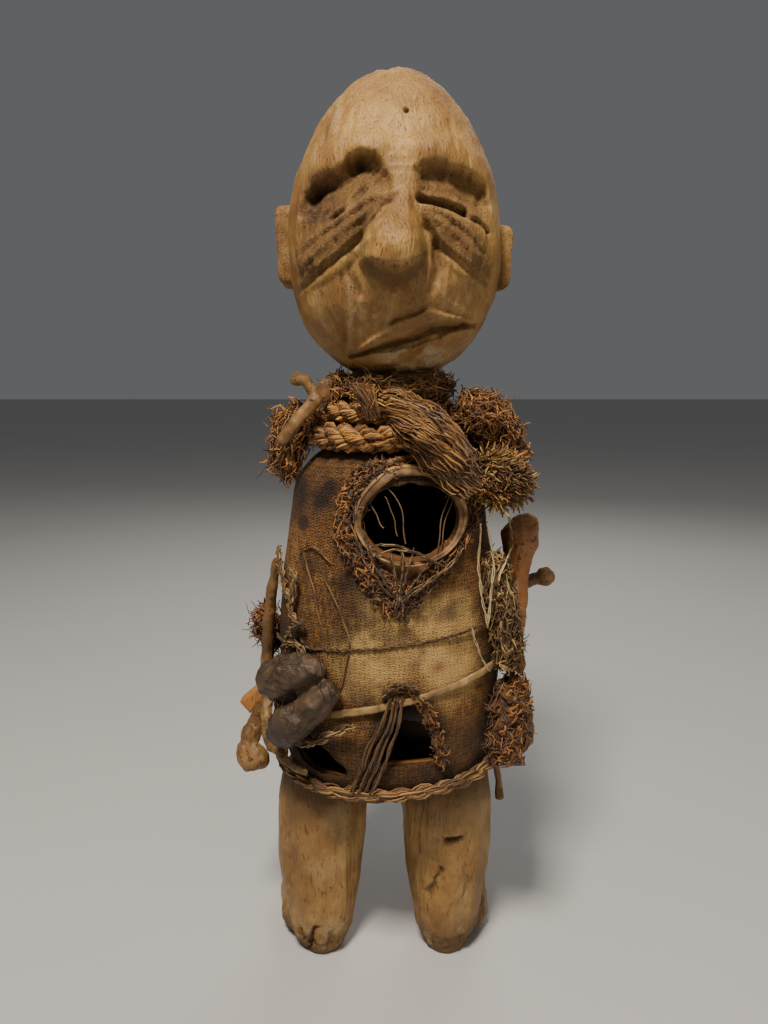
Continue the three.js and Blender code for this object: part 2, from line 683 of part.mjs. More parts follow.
function strawBrushRight(grow) {
  return limb([
    [...onTrunk(50, 0.86, onCover + 10), 13],
    [...onTrunk(60, 0.83, onCover + 20), 17],
    [...onTrunk(66, 0.8, onCover + 34), 19],
  ], { sides: 10, rings: 8, lumps: 0.1, grow });
}

function strawMassRight(grow) {
  return limb([
    [...onTrunk(48, 0.96, onCover + 32), 13],
    [...onTrunk(68, 0.92, onCover + 36), 17],
    [...onTrunk(86, 0.86, onCover + 26), 18],
    [...onTrunk(98, 0.8, onCover + 10), 10],
  ], { sides: 10, rings: 8, lumps: 0.12, grow });
}

function strawMassLeft(grow) {
  return limb([
    [...onTrunk(-66, 0.95, onCover + 22), 8],
    [...onTrunk(-84, 0.93, onCover + 28), 14],
    [...onTrunk(-88, 0.88, onCover + 22), 13],
    [...onTrunk(-86, 0.82, onCover + 7), 7],
  ], { sides: 10, rings: 8, lumps: 0.14, grow });
}

// Fibre packed between the cloth and the bones of the right arm
function strawSideRight(grow) {
  return limb([
    [...onTrunk(64, 0.66, onCover + 8), 9],
    [...onTrunk(62, 0.55, onCover + 10), 14],
    [...onTrunk(65, 0.42, onCover + 13), 14],
    [...onTrunk(70, 0.34, onCover + 12), 12],
  ], { sides: 8, rings: 8, flat: 0.7, lumps: 0.08, broad: [0.9, -0.4, 0], grow });
}

function hideBundleLeft(grow) {
  const lift = onCover + BAND_THICKNESS + GAP + 15;
  const upper = limb([
    [...onTrunk(-62, 0.32, lift), 14],
    [...onTrunk(-46, 0.36, lift + 2), 16],
    [...onTrunk(-27, 0.4, lift - 5), 9],
  ], { sides: 8, rings: 7, lumps: 0.06, grow });
  const lower = limb([
    [...onTrunk(-52, 0.2, lift), 13],
    [...onTrunk(-42, 0.24, lift + 3), 16],
    [...onTrunk(-22, 0.36, lift - 5), 10],
  ], { sides: 8, rings: 7, lumps: 0.06, grow });
  return join(upper, lower);
}

function hipStrapsLeft(grow) {
  return join(
    limb([
      [...onTrunk(-88, 0.28, onCover + 7), 5],
      [...onTrunk(-72, 0.17, onCover + BASE_HOOP_THICKNESS + 5), 6],
      [...onTrunk(-50, 0.125, onCover + BASE_HOOP_THICKNESS + 4), 5],
      [...onTrunk(-38, 0.11, onCover + BASE_HOOP_THICKNESS), 3],
    ], { sides: 6, rings: 7, flat: 0.6, grow }),
    limb([
      [...onTrunk(-86, 0.25, onCover + 8), 5],
      [...onTrunk(-92, 0.15, onCover + BASE_HOOP_THICKNESS + 6), 6],
      [...onTrunk(-86, 0.08, onCover + BASE_HOOP_THICKNESS + 5), 5],
    ], { sides: 6, rings: 6, grow }),
  );
}

function sideTuftLeft(grow) {
  return limb([
    [...onTrunk(-92, 0.36, onCover + 5), 7],
    [...onTrunk(-96, 0.41, onCover + 11), 10],
    [...onTrunk(-98, 0.47, onCover + 17), 6],
  ], { sides: 8, rings: 7, lumps: 0.16, grow });
}

function hipMassRight(grow) {
  return limb([
    [...onTrunk(74, 0.31, onCover + 13), 9],
    [...onTrunk(62, 0.24, onCover + 17), 14],
    [...onTrunk(54, 0.18, onCover + 20), 13],
    [...onTrunk(60, 0.12, onCover + 22), 8],
  ], { sides: 10, rings: 8, lumps: 0.07, grow });
}

// Bones

function shoulderBoneLeft(grow) {
  const bar = limb([
    [-80, -38, rimLevel - 19, SHOULDER_BONE_RADIUS],
    [-62, -36, rimLevel + 4, SHOULDER_BONE_RADIUS * 0.9],
    [-48, -32, rimLevel + 19, SHOULDER_BONE_RADIUS * 1.1],
  ], { sides: 7, rings: 7, flat: 0.7, grow });
  const neck = limb([
    [-50, -31, rimLevel + 16, 4.6],
    [-57, -30, rimLevel + 26, 4.2],
    [-61, -30, rimLevel + 35, 7],
  ], { sides: 6, rings: 6, grow });
  return join(bar, neck, ball([-66, -30, rimLevel + 31], 5.5, grow));
}

function shoulderBladeLeft(grow) {
  return limb([
    [-50, -20, rimLevel + 12, 5],
    [-43, -18, rimLevel + 24, 10],
    [-34, -17, rimLevel + 31, 6],
  ], { sides: 8, rings: 7, flat: 0.4, broad: [0.2, -1, 0], grow });
}

function sideBoneLeft(grow) {
  const lift = onCover + BELLY_CORD_THICKNESS + GAP + SIDE_BONE_RADIUS;
  return limb([
    [...onTrunk(-70, 0.64, lift), SIDE_BONE_RADIUS * 0.7],
    [...onTrunk(-76, 0.5, lift), SIDE_BONE_RADIUS * 0.9],
    [...onTrunk(-82, 0.36, lift), SIDE_BONE_RADIUS],
    [...onTrunk(-87, 0.27, lift), SIDE_BONE_RADIUS * 1.2],
  ], { sides: 8, rings: 9, lumps: 0.05, grow });
}

function armBoneRight(grow) {
  const radius = ARM_BONE_RADIUS;
  const lift = onCover + radius + 4;
  const shaft = limb([
    [...onTrunk(83, 0.72, lift + 10), radius * 1.5],
    [...onTrunk(82, 0.67, lift + 9), radius * 1.5],
    [...onTrunk(81, 0.6, lift + 4), radius],
    [...onTrunk(81, 0.5, lift), radius * 0.9],
    [...onTrunk(80, 0.38, lift - 3), radius * 0.8],
    [...onTrunk(80, 0.34, lift - 3), radius],
  ], { sides: 8, rings: 9, flat: 0.8, grow });
  const flare = limb([
    [...onTrunk(83, 0.705, lift + 2), radius * 0.9],
    [...onTrunk(84, 0.7, lift + 26), radius * 0.8],
  ], { sides: 7, rings: 5, grow });
  const knuckle = limb([
    [...onTrunk(72, 0.34, lift - 3), radius * 0.95],
    [...onTrunk(86, 0.33, lift), radius],
  ], { sides: 7, rings: 5, grow });
  return join(shaft, flare, knuckle);
}

function rearBoneRight(grow) {
  const radius = REAR_BONE_RADIUS;
  const lift = onCover + 2 * ARM_BONE_RADIUS;
  const shaft = limb([
    [...onTrunk(98, 0.34, onCover + radius * 1.6), radius * 1.1],
    [...onTrunk(98, 0.45, onCover + radius * 2.4), radius],
    [...onTrunk(97, 0.55, lift + 2), radius * 1.2],
  ], { sides: 7, rings: 7, grow });
  const neck = limb([
    [...onTrunk(97, 0.53, lift), radius],
    [...onTrunk(96, 0.54, lift + 20), radius * 0.8],
  ], { sides: 7, rings: 5, grow });
  return join(
    shaft,
    neck,
    ball(onTrunk(96, 0.54, lift + 23), radius * 1.4, grow),
    ball(onTrunk(97, 0.59, lift + 7), radius * 1.1, grow),
  );
}

// A place beside the left hip, from the foot of the trunk's axis, with its radius
function hipKnuckle([x, z], radius) {
  return [TRUNK_X + x, -8, trunkBase + z, radius];
}

function hipBoneLeft(grow) {
  const lift = onCover + BASE_HOOP_THICKNESS + 2 * GAP;
  return join(
    limb([
      [...onTrunk(-92, 0.2, lift + 7), 6],
      [...onTrunk(-93, 0.14, lift + 14), 8],
      hipKnuckle([-122, 27], 12),
    ], { sides: 7, rings: 6, grow }),
    limb([hipKnuckle([-124, 30], 11), hipKnuckle([-119, 12], 9), hipKnuckle([-115, 2], 11)], {
      sides: 7, rings: 6, grow,
    }),
    limb([hipKnuckle([-118, 26], 9), hipKnuckle([-104, 6], 9)], { sides: 6, rings: 5, grow }),
  );
}

function hipPegLeft(grow) {
  const [x, y, z] = onTrunk(-99, 0.215, onCover + 20);
  return block([x, y, z], [PEG_SIDE, PEG_SIDE, PEG_SIDE * 2.6], 50, grow);
}

function hipBoneRight(grow) {
  const lift = onCover + BASE_HOOP_THICKNESS;
  return limb([
    [...onTrunk(84, 0.26, lift - 2), 7],
    [...onTrunk(86, 0.2, lift + 6), 15],
    [...onTrunk(84, 0.13, lift + 10), 17],
    [...onTrunk(84, 0.07, lift + 4), 9],
  ], { sides: 9, rings: 8, flat: 0.45, broad: [0.35, -1, 0], grow });
}

function hangingBoneRight(grow) {
  const lift = onCover + BASE_HOOP_THICKNESS + SMALL_BONE_RADIUS;
  const besideLeg = (LEG_SPREAD + THIGH_WIDTH) / 2 + SMALL_BONE_RADIUS * 1.5 + 3 * GAP;
  return limb([
    [...onTrunk(88, 0.13, lift + GAP), SMALL_BONE_RADIUS * 0.8],
    [...onTrunk(89, 0.06, lift), SMALL_BONE_RADIUS],
    [besideLeg, -4, trunkBase - 10, SMALL_BONE_RADIUS * 0.9],
    [besideLeg + 1, -5, trunkBase - 27, SMALL_BONE_RADIUS * 1.5],
  ], { sides: 7, rings: 7, grow });
}

// Every piece in the order in which it holds its place: each is cut back from those before it
const PIECES = [
  ['calabash_body', calabash, COLOURS.gourd, 0.7],
  ['sackcloth_cover', sackclothCover, COLOURS.sackcloth, 0.95],
  ['head', head, COLOURS.wood, 0.6],
  ['base_hoop', baseHoop, COLOURS.cane, 0.8],
  ['leg_left', leg(-1), COLOURS.legs, 0.65],
  ['leg_right', leg(1), COLOURS.legs, 0.65],
  ['belly_cord', bellyCord, COLOURS.twine, 0.9],
  ['cross_band', crossBand, COLOURS.cane, 0.7],
  ['window_hoop', windowHoop, COLOURS.cane, 0.75],
  ['rope_collar_upper', upperRope, COLOURS.rope, 0.9],
  ['rope_collar_lower', lowerRope, COLOURS.rope, 0.9],
  ['hoop_splint', hoopSplint, COLOURS.cane, 0.75],
  ['straw_ruff', strawRuff, COLOURS.straw, 0.9],
  ['upper_lashing', upperLashing, COLOURS.twine, 0.9],
  ['front_lashing', frontLashing, COLOURS.twine, 0.9],
  ['shoulder_bone_left', shoulderBoneLeft, COLOURS.bone, 0.6],
  ['shoulder_blade_left', shoulderBladeLeft, COLOURS.bone, 0.6],
  ['side_bone_left', sideBoneLeft, COLOURS.bone, 0.6],
  ['arm_bone_right', armBoneRight, COLOURS.redBone, 0.5],
  ['rear_bone_right', rearBoneRight, COLOURS.bone, 0.55],
  ['hip_bone_left', hipBoneLeft, COLOURS.bone, 0.6],
  ['hip_peg_left', hipPegLeft, COLOURS.peg, 0.7],
  ['hip_bone_right', hipBoneRight, COLOURS.redBone, 0.55],
  ['hanging_bone_right', hangingBoneRight, COLOURS.bone, 0.6],
  ['raffia_hank', raffiaHank, COLOURS.raffia, 0.85],
  ['hide_bundle_left', hideBundleLeft, COLOURS.hide, 0.85],
  ['hip_straps_left', hipStrapsLeft, COLOURS.hide, 0.8],
  ['straw_brush_right', strawBrushRight, COLOURS.straw, 0.95],
  ['straw_mass_right', strawMassRight, COLOURS.straw, 0.95],
  ['straw_mass_left', strawMassLeft, COLOURS.straw, 0.95],
  ['straw_side_right', strawSideRight, COLOURS.straw, 0.95],
  ['hip_mass_right', hipMassRight, COLOURS.straw, 0.95],
  ['side_tuft_left', sideTuftLeft, COLOURS.straw, 0.95],
];

function boxesMeet(a, b) {
  return [0, 1, 2].every((axis) => a.min[axis] < b.max[axis] && b.min[axis] < a.max[axis]);
}

const group = new THREE.Group();
const placed = [];
for (const [name, shape, color, roughness] of PIECES) {
  let solid = shape(0);
  for (const neighbour of placed) {
    if (boxesMeet(solid.boundingBox(), neighbour.box)) solid = solid.subtract(neighbour.room);
  }
  const room = shape(CUT_GAP);
  placed.push({ room, box: room.boundingBox() });
  const material = new THREE.MeshStandardMaterial({ color, roughness, metalness: 0 });
  const mesh = new THREE.Mesh(geometryOf(largestBody(solid)), material);
  mesh.name = name;
  group.add(mesh);
}

// The origin is the middle of the figure's box, on the ground
const whole = new THREE.Box3().setFromObject(group);
const middle = whole.getCenter(new THREE.Vector3());
group.position.set(-middle.x, -middle.y, -whole.min.z);

export default group;
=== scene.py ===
"""Dresses a kneeling shrine figure: a carved wooden head and legs on a calabash wrapped in sackcloth,
bound with cane, straw rope, twine and hide, with bones tied on. Lengths are in millimetres until a
mesh is made, in the part's own design coordinates: +X to the viewer's right, +Y away, +Z up."""

import itertools
import logging
import math
from collections.abc import Callable
from dataclasses import dataclass
from enum import Enum

import bmesh
import bpy
import numpy as np
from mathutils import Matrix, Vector


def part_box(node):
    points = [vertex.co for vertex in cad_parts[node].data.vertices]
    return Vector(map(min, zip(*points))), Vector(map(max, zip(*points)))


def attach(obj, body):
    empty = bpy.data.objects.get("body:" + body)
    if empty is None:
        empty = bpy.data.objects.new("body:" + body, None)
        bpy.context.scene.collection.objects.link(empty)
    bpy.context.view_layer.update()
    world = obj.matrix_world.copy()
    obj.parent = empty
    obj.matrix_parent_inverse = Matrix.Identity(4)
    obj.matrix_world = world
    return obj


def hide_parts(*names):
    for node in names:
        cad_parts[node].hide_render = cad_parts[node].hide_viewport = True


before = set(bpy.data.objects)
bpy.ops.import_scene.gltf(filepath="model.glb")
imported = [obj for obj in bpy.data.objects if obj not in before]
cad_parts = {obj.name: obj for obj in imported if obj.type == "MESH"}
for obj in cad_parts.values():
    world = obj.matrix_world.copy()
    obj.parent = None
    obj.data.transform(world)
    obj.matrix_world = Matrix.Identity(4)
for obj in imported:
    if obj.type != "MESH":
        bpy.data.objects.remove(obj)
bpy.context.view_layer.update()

MM = 0.001
TURN = 2 * math.pi
Colour = tuple[float, float, float]
Station = tuple[float, float, float, float]
Array = np.ndarray
Piece = bpy.types.Object
Tree = bpy.types.NodeTree
Socket = bpy.types.NodeSocket

# The trunk's middle in design coordinates, and its outline as shares of its height and radius
TRUNK_X = 4.0
TRUNK_BASE = 150.0
GOURD_HEIGHT = 300.0
GOURD_RADIUS = 88.0
GOURD_DEPTH_SHARE = 0.84
GOURD_WALL = 6.0
GOURD_PROFILE = (
    (0, 0.62), (0.04, 0.84), (0.1, 0.96), (0.25, 1), (0.5, 0.965),
    (0.8, 0.83), (0.87, 0.73), (0.92, 0.53), (0.96, 0.43), (1, 0.4),
)
RIM = TRUNK_BASE + GOURD_HEIGHT
ON_COVER = 4.8

# Openings, as in the solid parts
WINDOW_X = 20.0
WINDOW_Z = TRUNK_BASE + 0.76 * GOURD_HEIGHT
WINDOW_WIDTH = 70.0
WINDOW_HEIGHT = 55.0
TEAR_TIP_Z = TRUNK_BASE + 0.573 * GOURD_HEIGHT
ARCH_X = 18.0
ARCH_FOOT_Z = TRUNK_BASE + 0.14 * GOURD_HEIGHT
ARCH_TOP_Z = TRUNK_BASE + 0.32 * GOURD_HEIGHT
ARCH_WIDTH = 43.0
SLOT_EDGE = ((-74, 0.165), (-62, 0.2), (-26, 0.115), (-34, 0.085), (-62, 0.095))


def design_shift() -> Array:
    """Where design coordinates start in the frame, in metres, found from the calabash's box."""
    low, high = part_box("calabash_body")
    middle = (low + high) / 2
    return np.array([middle.x - TRUNK_X * MM, middle.y, 0.0])


SHIFT = design_shift()


# Numbers, noise and curves


def ramp(value: Array, low: float, high: float) -> Array:
    """A smooth step from 0 at low to 1 at high."""
    share = np.clip((value - low) / (high - low), 0, 1)
    return share * share * (3 - 2 * share)


def rough(points: Array, size: float, seed: int) -> Array:
    """Smooth noise from -1 to 1 over points in space.

    Args:
        points: Places, one row each.
        size: Size of one lump, in the unit of the points.
        seed: Number that chooses the pattern.

    Returns:
        One value for each place.
    """
    scaled = points / size + seed * 17.31
    cell = np.floor(scaled).astype(np.int64)
    part = scaled - cell
    part = part * part * (3 - 2 * part)
    total = np.zeros(points.shape[:-1])
    for corner in itertools.product((0, 1), repeat=3):
        at = cell + np.array(corner)
        key = (at[..., 0] * 73856093) ^ (at[..., 1] * 19349663) ^ (at[..., 2] * 83492791)
        key = ((key ^ (key >> 13)) * 1274126177) & 0x7FFFFFFF
        value = ((key >> 8) & 0xFFFF) / 32767.5 - 1
        total += value * np.prod(np.where(np.array(corner) == 1, part, 1 - part), axis=-1)
    return total


def unit(vectors: Array) -> Array:
    """Vectors brought to a length of one."""
    return vectors / np.linalg.norm(vectors, axis=-1, keepdims=True)


def layered(points: Array, size: float, seed: int, layers: int = 3) -> Array:
    """Noise in several layers, each half the size and strength of the one before.

    Args:
        points: Places, one row each.
        size: Size of the largest lumps.
        seed: Number that chooses the pattern.
        layers: How many layers are added.

    Returns:
        One value for each place.
    """
    return sum(rough(points, size / 2**i, seed + i) / 2**i for i in range(layers))


def smooth_line(points: Array, count: int, closed: bool = False) -> Array:
    """A smooth curve through points.

    Args:
        points: Places, or places with further values, one row each.
        count: How many places come back.
        closed: Whether the curve runs back to its start.

    Returns:
        Places along the curve, evenly spaced in the curve's own parameter.
    """
    points = np.asarray(points, float)
    last = len(points) if closed else len(points) - 1
    t = np.linspace(0, last, count, endpoint=not closed)
    i = np.minimum(t.astype(int), last - 1)
    f = (t - i)[:, None]

    def at(k: Array) -> Array:
        """Control points by number, wrapped or held at the ends."""
        return points[k % len(points)] if closed else points[np.clip(k, 0, len(points) - 1)]

    a, b, c, d = at(i - 1), at(i), at(i + 1), at(i + 2)
    return 0.5 * (2 * b + (c - a) * f + (2 * a - 5 * b + 4 * c - d) * f**2 + (3 * b - a - 3 * c + d) * f**3)


def circle(count: int) -> Array:
    """Evenly spaced angles once round."""
    return np.linspace(0, TURN, count, endpoint=False)


def spread_out(values: Array, steps: int) -> Array:
    """Values of a grid, each blended with its neighbours a number of times."""
    for _ in range(steps):
        padded = np.pad(values, ((1, 1), (0, 0)), "edge")
        upright = (padded[:-2] + padded[2:]) / 2
        values = (values + upright + np.roll(values, 1, 1) + np.roll(values, -1, 1)) / 4
    return values


def distance_to_line(x: Array, z: Array, line: Array) -> Array:
    """Distance from places on the front to a line of straight runs, as seen from the front."""
    line = np.asarray(line, float)
    least = np.full(np.shape(x), np.inf)
    for (ax, az), (bx, bz) in zip(line[:-1], line[1:]):
        run = np.array([bx - ax, bz - az])
        share = np.clip(((x - ax) * run[0] + (z - az) * run[1]) / max(run @ run, 1e-9), 0, 1)
        least = np.minimum(least, np.hypot(x - ax - share * run[0], z - az - share * run[1]))
    return least


def depth_inside(x: Array, z: Array, outline: Array) -> Array:
    """How deep places lie inside a closed outline seen from the front; negative outside it."""
    inside = np.zeros(np.shape(x), bool)
    for (ax, az), (bx, bz) in zip(outline, np.roll(outline, -1, axis=0)):
        if az != bz:
            crosses = (az > z) != (bz > z)
            inside ^= crosses & (x < (bx - ax) * (z - az) / (bz - az) + ax)
    away = distance_to_line(x, z, np.vstack([outline, outline[:1]]))
    return np.where(inside, away, -away)


class Trunk:
    """The surface of the calabash, on which everything else is tied."""

    def __init__(self) -> None:
        """Samples the outline with its outward direction."""
        profile = np.array(GOURD_PROFILE) * (GOURD_HEIGHT, GOURD_RADIUS)
        line = smooth_line(profile, 400)
        along = np.gradient(line, axis=0)
        along = unit(along)
        self.share = line[:, 0] / GOURD_HEIGHT
        self.level, self.radius = line[:, 0], line[:, 1]
        self.out_radius, self.out_level = along[:, 0], -along[:, 1]

    def section(self, share: Array, lift: Array) -> tuple[Array, Array]:
        """Radius and level at shares of the height, lifted off the skin.

        Args:
            share: Shares of the calabash's height.
            lift: Distances from the skin in mm.

        Returns:
            The radii and the levels above the foot.
        """
        def at(values: Array) -> Array:
            """Values of one sampled quantity at the shares."""
            return np.interp(share, self.share, values)

        radius = at(self.radius) + at(self.out_radius) * lift
        return radius, at(self.level) + at(self.out_level) * lift

    def around(self, degrees: Array, share: Array, lift: Array) -> Array:
        """Places on the trunk.

        Args:
            degrees: Turn from the front towards +X.
            share: Shares of the calabash's height.
            lift: Distances from the skin in mm.

        Returns:
            Places in design coordinates, one row each.
        """
        degrees, share, lift = np.broadcast_arrays(degrees, share, lift)
        radius, level = self.section(share, lift)
        turn = np.radians(degrees)
        places = (
            TRUNK_X + radius * np.sin(turn),
            -radius * GOURD_DEPTH_SHARE * np.cos(turn),
            TRUNK_BASE + level,
        )
        return np.stack(places, axis=-1)

    def front(self, x: Array, z: Array, lift: Array) -> Array:
        """Places on the trunk's front.

        Args:
            x: Places across, as seen from the front.
            z: Levels above the ground.
            lift: Distances from the skin in mm.

        Returns:
            Places in design coordinates, one row each.
        """
        x, z, lift = (np.asarray(value, float) for value in np.broadcast_arrays(x, z, lift))
        share = np.clip((z - TRUNK_BASE) / GOURD_HEIGHT, 0, 1)
        radius, _ = self.section(share, lift)
        degrees = np.degrees(np.arcsin(np.clip((x - TRUNK_X) / radius, -1, 1)))
        return self.around(degrees, share, lift)


TRUNK = Trunk()


# Outlines of the openings, seen from the front


def window_outline(margin: float = 0.0) -> Array:
    """The round window, wider by a margin in mm."""
    turn = circle(72)
    across = WINDOW_X + (WINDOW_WIDTH / 2 + margin) * np.cos(turn)
    return np.stack([across, WINDOW_Z + (WINDOW_HEIGHT / 2 + margin) * np.sin(turn)], axis=1)


def tear_outline(margin: float = 0.0) -> Array:
    """The tear in the cloth round the window, which runs down to a point, wider by a margin."""
    half, high = WINDOW_WIDTH / 2 + 4 + margin, WINDOW_HEIGHT / 2
    tip = (WINDOW_X - 9, TEAR_TIP_Z - margin)
    corners = (
        tip, (WINDOW_X + half * 0.62, WINDOW_Z - high * 1.05), (WINDOW_X + half, WINDOW_Z - 2),
        (WINDOW_X + half * 0.72, WINDOW_Z + high * 0.78 + margin), (WINDOW_X, WINDOW_Z + high + margin),
        (WINDOW_X - half * 0.72, WINDOW_Z + high * 0.78 + margin), (WINDOW_X - half, WINDOW_Z - 2),
        (WINDOW_X - half * 0.8, WINDOW_Z - high * 1.05), tip,
    )
    return smooth_line(corners, 90)[:-1]


def arch_outline(margin: float = 0.0) -> Array:
    """The arched window near the foot, wider by a margin."""
    half, tall = ARCH_WIDTH / 2 + margin, ARCH_TOP_Z - ARCH_FOOT_Z
    corners = (
        (ARCH_X - half, ARCH_FOOT_Z - margin), (ARCH_X - half * 0.8, ARCH_FOOT_Z + tall * 0.5),
        (ARCH_X - half * 0.38, ARCH_TOP_Z - tall * 0.08), (ARCH_X, ARCH_TOP_Z + margin),
        (ARCH_X + half * 0.45, ARCH_TOP_Z - tall * 0.14), (ARCH_X + half * 0.85, ARCH_FOOT_Z + tall * 0.45),
        (ARCH_X + half, ARCH_FOOT_Z - margin),
    )
    return smooth_line(corners, 60)


def slot_outline(margin: float = 0.0) -> Array:
    """The broken place at the lower left, wider by a margin."""
    corners = np.array([(x, TRUNK_BASE + share * GOURD_HEIGHT) for x, share in SLOT_EDGE])
    away = corners - corners.mean(axis=0)
    moved = corners + margin * unit(away)
    return smooth_line(moved, 50, closed=True)


# Meshes


def grid_faces(rows: int, columns: int, wrapped: bool) -> Array:
    """Four-cornered faces of a grid of points.

    Args:
        rows: Rows of points.
        columns: Points in a row.
        wrapped: Whether each row closes on itself.

    Returns:
        The corners' numbers, one row for each face.
    """
    i = np.arange(rows - 1)[:, None]
    j = np.arange(columns if wrapped else columns - 1)[None, :]
    k = (j + 1) % columns
    corners = (i * columns + j, i * columns + k, (i + 1) * columns + k, (i + 1) * columns + j)
    return np.stack(np.broadcast_arrays(*corners), axis=-1).reshape(-1, 4)


def tube_faces(rows: int, sides: int) -> list[tuple[int, ...]]:
    """Faces of rows of points joined into a tube, with both ends closed."""
    last = (rows - 1) * sides
    faces = [tuple(face) for face in grid_faces(rows, sides, True)]
    return faces + [tuple(range(sides))[::-1], tuple(range(last, last + sides))]


def new_object(name: str, data: bpy.types.ID) -> Piece:
    """An object with its data, put into the scene."""
    piece = bpy.data.objects.new(name, data)
    bpy.context.scene.collection.objects.link(piece)
    return piece


def make_piece(name: str, places: Array, faces: list, maps: dict[str, Array] | None = None) -> Piece:
    """A mesh object from places in design coordinates.

    Args:
        name: The piece's name.
        places: Corners in mm, one row each.
        faces: Corner numbers of each face.
        maps: Values kept on the corners, by name.

    Returns:
        The object, at the origin, smooth shaded.
    """
    mesh = bpy.data.meshes.new(name)
    points = np.asarray(places).reshape(-1, 3) * MM + SHIFT
    mesh.from_pydata(points.tolist(), [], [list(map(int, face)) for face in faces])
    for key, values in (maps or {}).items():
        layer = mesh.attributes.new(key, "FLOAT", "POINT")
        layer.data.foreach_set("value", np.asarray(values, np.float32).reshape(-1))
    mesh.shade_smooth()
    return new_object(name, mesh)


def face_outwards(piece: Piece) -> None:
    """Turns every face of a closed mesh outwards."""
    sculpt = bmesh.new()
    sculpt.from_mesh(piece.data)
    bmesh.ops.remove_doubles(sculpt, verts=sculpt.verts, dist=1e-6)
    bmesh.ops.recalc_face_normals(sculpt, faces=sculpt.faces)
    sculpt.to_mesh(piece.data)
    sculpt.free()


def soften_edges(piece: Piece, times: int) -> None:
    """Evens out the steps along the open edges of a sheet, a number of times."""
    sculpt = bmesh.new()
    sculpt.from_mesh(piece.data)
    rim = [edge for edge in sculpt.edges if edge.is_boundary]
    corners = {corner: [] for edge in rim for corner in edge.verts}
    for edge in rim:
        for first, second in (edge.verts, tuple(edge.verts)[::-1]):
            corners[first].append(second)
    for _ in range(times):
        moved = {
            corner: sum((near.co for near in nears), corner.co * 2) / (len(nears) + 2)
            for corner, nears in corners.items()
        }
        for corner, place in moved.items():
            corner.co = place
    sculpt.to_mesh(piece.data)
    sculpt.free()


def apply_modifiers(piece: Piece) -> None:
    """Turns a piece with its modifiers into a plain mesh."""
    view = bpy.context.evaluated_depsgraph_get()
    mesh = bpy.data.meshes.new_from_object(piece.evaluated_get(view), depsgraph=view)
    piece.modifiers.clear()
    piece.data = mesh


def limb_mesh(stations: list[Station], sides: int, rings: int, flat: float, ends: float) -> tuple[Array,
list]:
    """A rounded limb along a smooth path.

    Args:
        stations: Places with a radius each.
        sides: Points round the limb.
        rings: Points along the limb.
        flat: Thickness from front to back as a share of the width.
        ends: Share of the length over which each end rounds off.

    Returns:
        The places and the faces of a closed mesh.
    """
    line = smooth_line(stations, rings)
    along = np.gradient(line[:, :3], axis=0)
    along = unit(along)
    side = np.cross((0.0, -1.0, 0.0), along)
    side = unit(side)
    lift = np.cross(along, side)
    share = np.linspace(0, 1, rings)
    close = np.minimum(np.minimum(share, 1 - share) / ends, 1)
    radius = line[:, 3] * np.sqrt(np.clip(close * (2 - close), 0.0004, 1))
    turn = circle(sides)
    ring = side[:, None] * np.cos(turn)[None, :, None] + lift[:, None] * np.sin(turn)[None, :, None] * flat
    places = line[:, None, :3] + ring * radius[:, None, None]
    return places.reshape(-1, 3), tube_faces(rings, sides)


def join_meshes(parts: list[tuple[Array, list]]) -> tuple[Array, list]:
    """Several closed meshes as one list of places and one of faces."""
    places, faces, start = [], [], 0
    for part_places, part_faces in parts:
        places.append(part_places)
        faces += [tuple(corner + start for corner in face) for face in part_faces]
        start += len(part_places)
    return np.vstack(places), faces


def carve_block(name: str, node: str, voxel: float, soften: int) -> Piece:
    """One even skin over a solid, fine enough to be worked.

    Args:
        name: The new piece's name.
        node: The solid's node.
        voxel: Size of the skin's faces in mm.
        soften: How often the skin is smoothed.

    Returns:
        The new piece.
    """
    piece = new_object(name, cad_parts[node].data.copy())
    piece.data.materials.clear()
    face_outwards(piece)
    remesh = piece.modifiers.new("skin", "REMESH")
    remesh.mode = "VOXEL"
    remesh.voxel_size = voxel * MM
    smooth = piece.modifiers.new("soften", "SMOOTH")
    smooth.factor = 0.5
    smooth.iterations = soften
    apply_modifiers(piece)
    piece.data.shade_smooth()
    return piece


def corners_of(piece: Piece) -> tuple[Array, Array]:
    """Corners of a mesh in design coordinates, with their outward directions."""
    count = len(piece.data.vertices)
    places, normals = np.empty(count * 3), np.empty(count * 3)
    piece.data.vertices.foreach_get("co", places)
    piece.data.vertex_normals.foreach_get("vector", normals)
    return (places.reshape(-1, 3) - SHIFT) / MM, normals.reshape(-1, 3)


def move_corners(piece: Piece, places: Array) -> None:
    """Puts a mesh's corners at places in design coordinates."""
    piece.data.vertices.foreach_set("co", (places * MM + SHIFT).reshape(-1))
    piece.data.update()


def keep_map(piece: Piece, name: str, values: Array) -> None:
    """Keeps one value for each corner of a mesh, for its material to read."""
    layer = piece.data.attributes.new(name, "FLOAT", "POINT")
    layer.data.foreach_set("value", np.asarray(values, np.float32))


def settle(piece: Piece, slot: str, *nodes: str) -> Piece:
    """Fixes a finished piece to the figure and reports it.

    Args:
        piece: The finished piece.
        slot: The material slot that it takes its finish from.
        nodes: The solids that it stands for.

    Returns:
        slot: Name of a material slot; not used.
    """
    if nodes:
        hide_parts(*nodes)
    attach(piece, "root")
    triangles = sum(len(polygon.vertices) - 2 for polygon in piece.data.polygons)
    logging.info("%s: %d triangles", piece.name, triangles)
    return piece


# Node trees


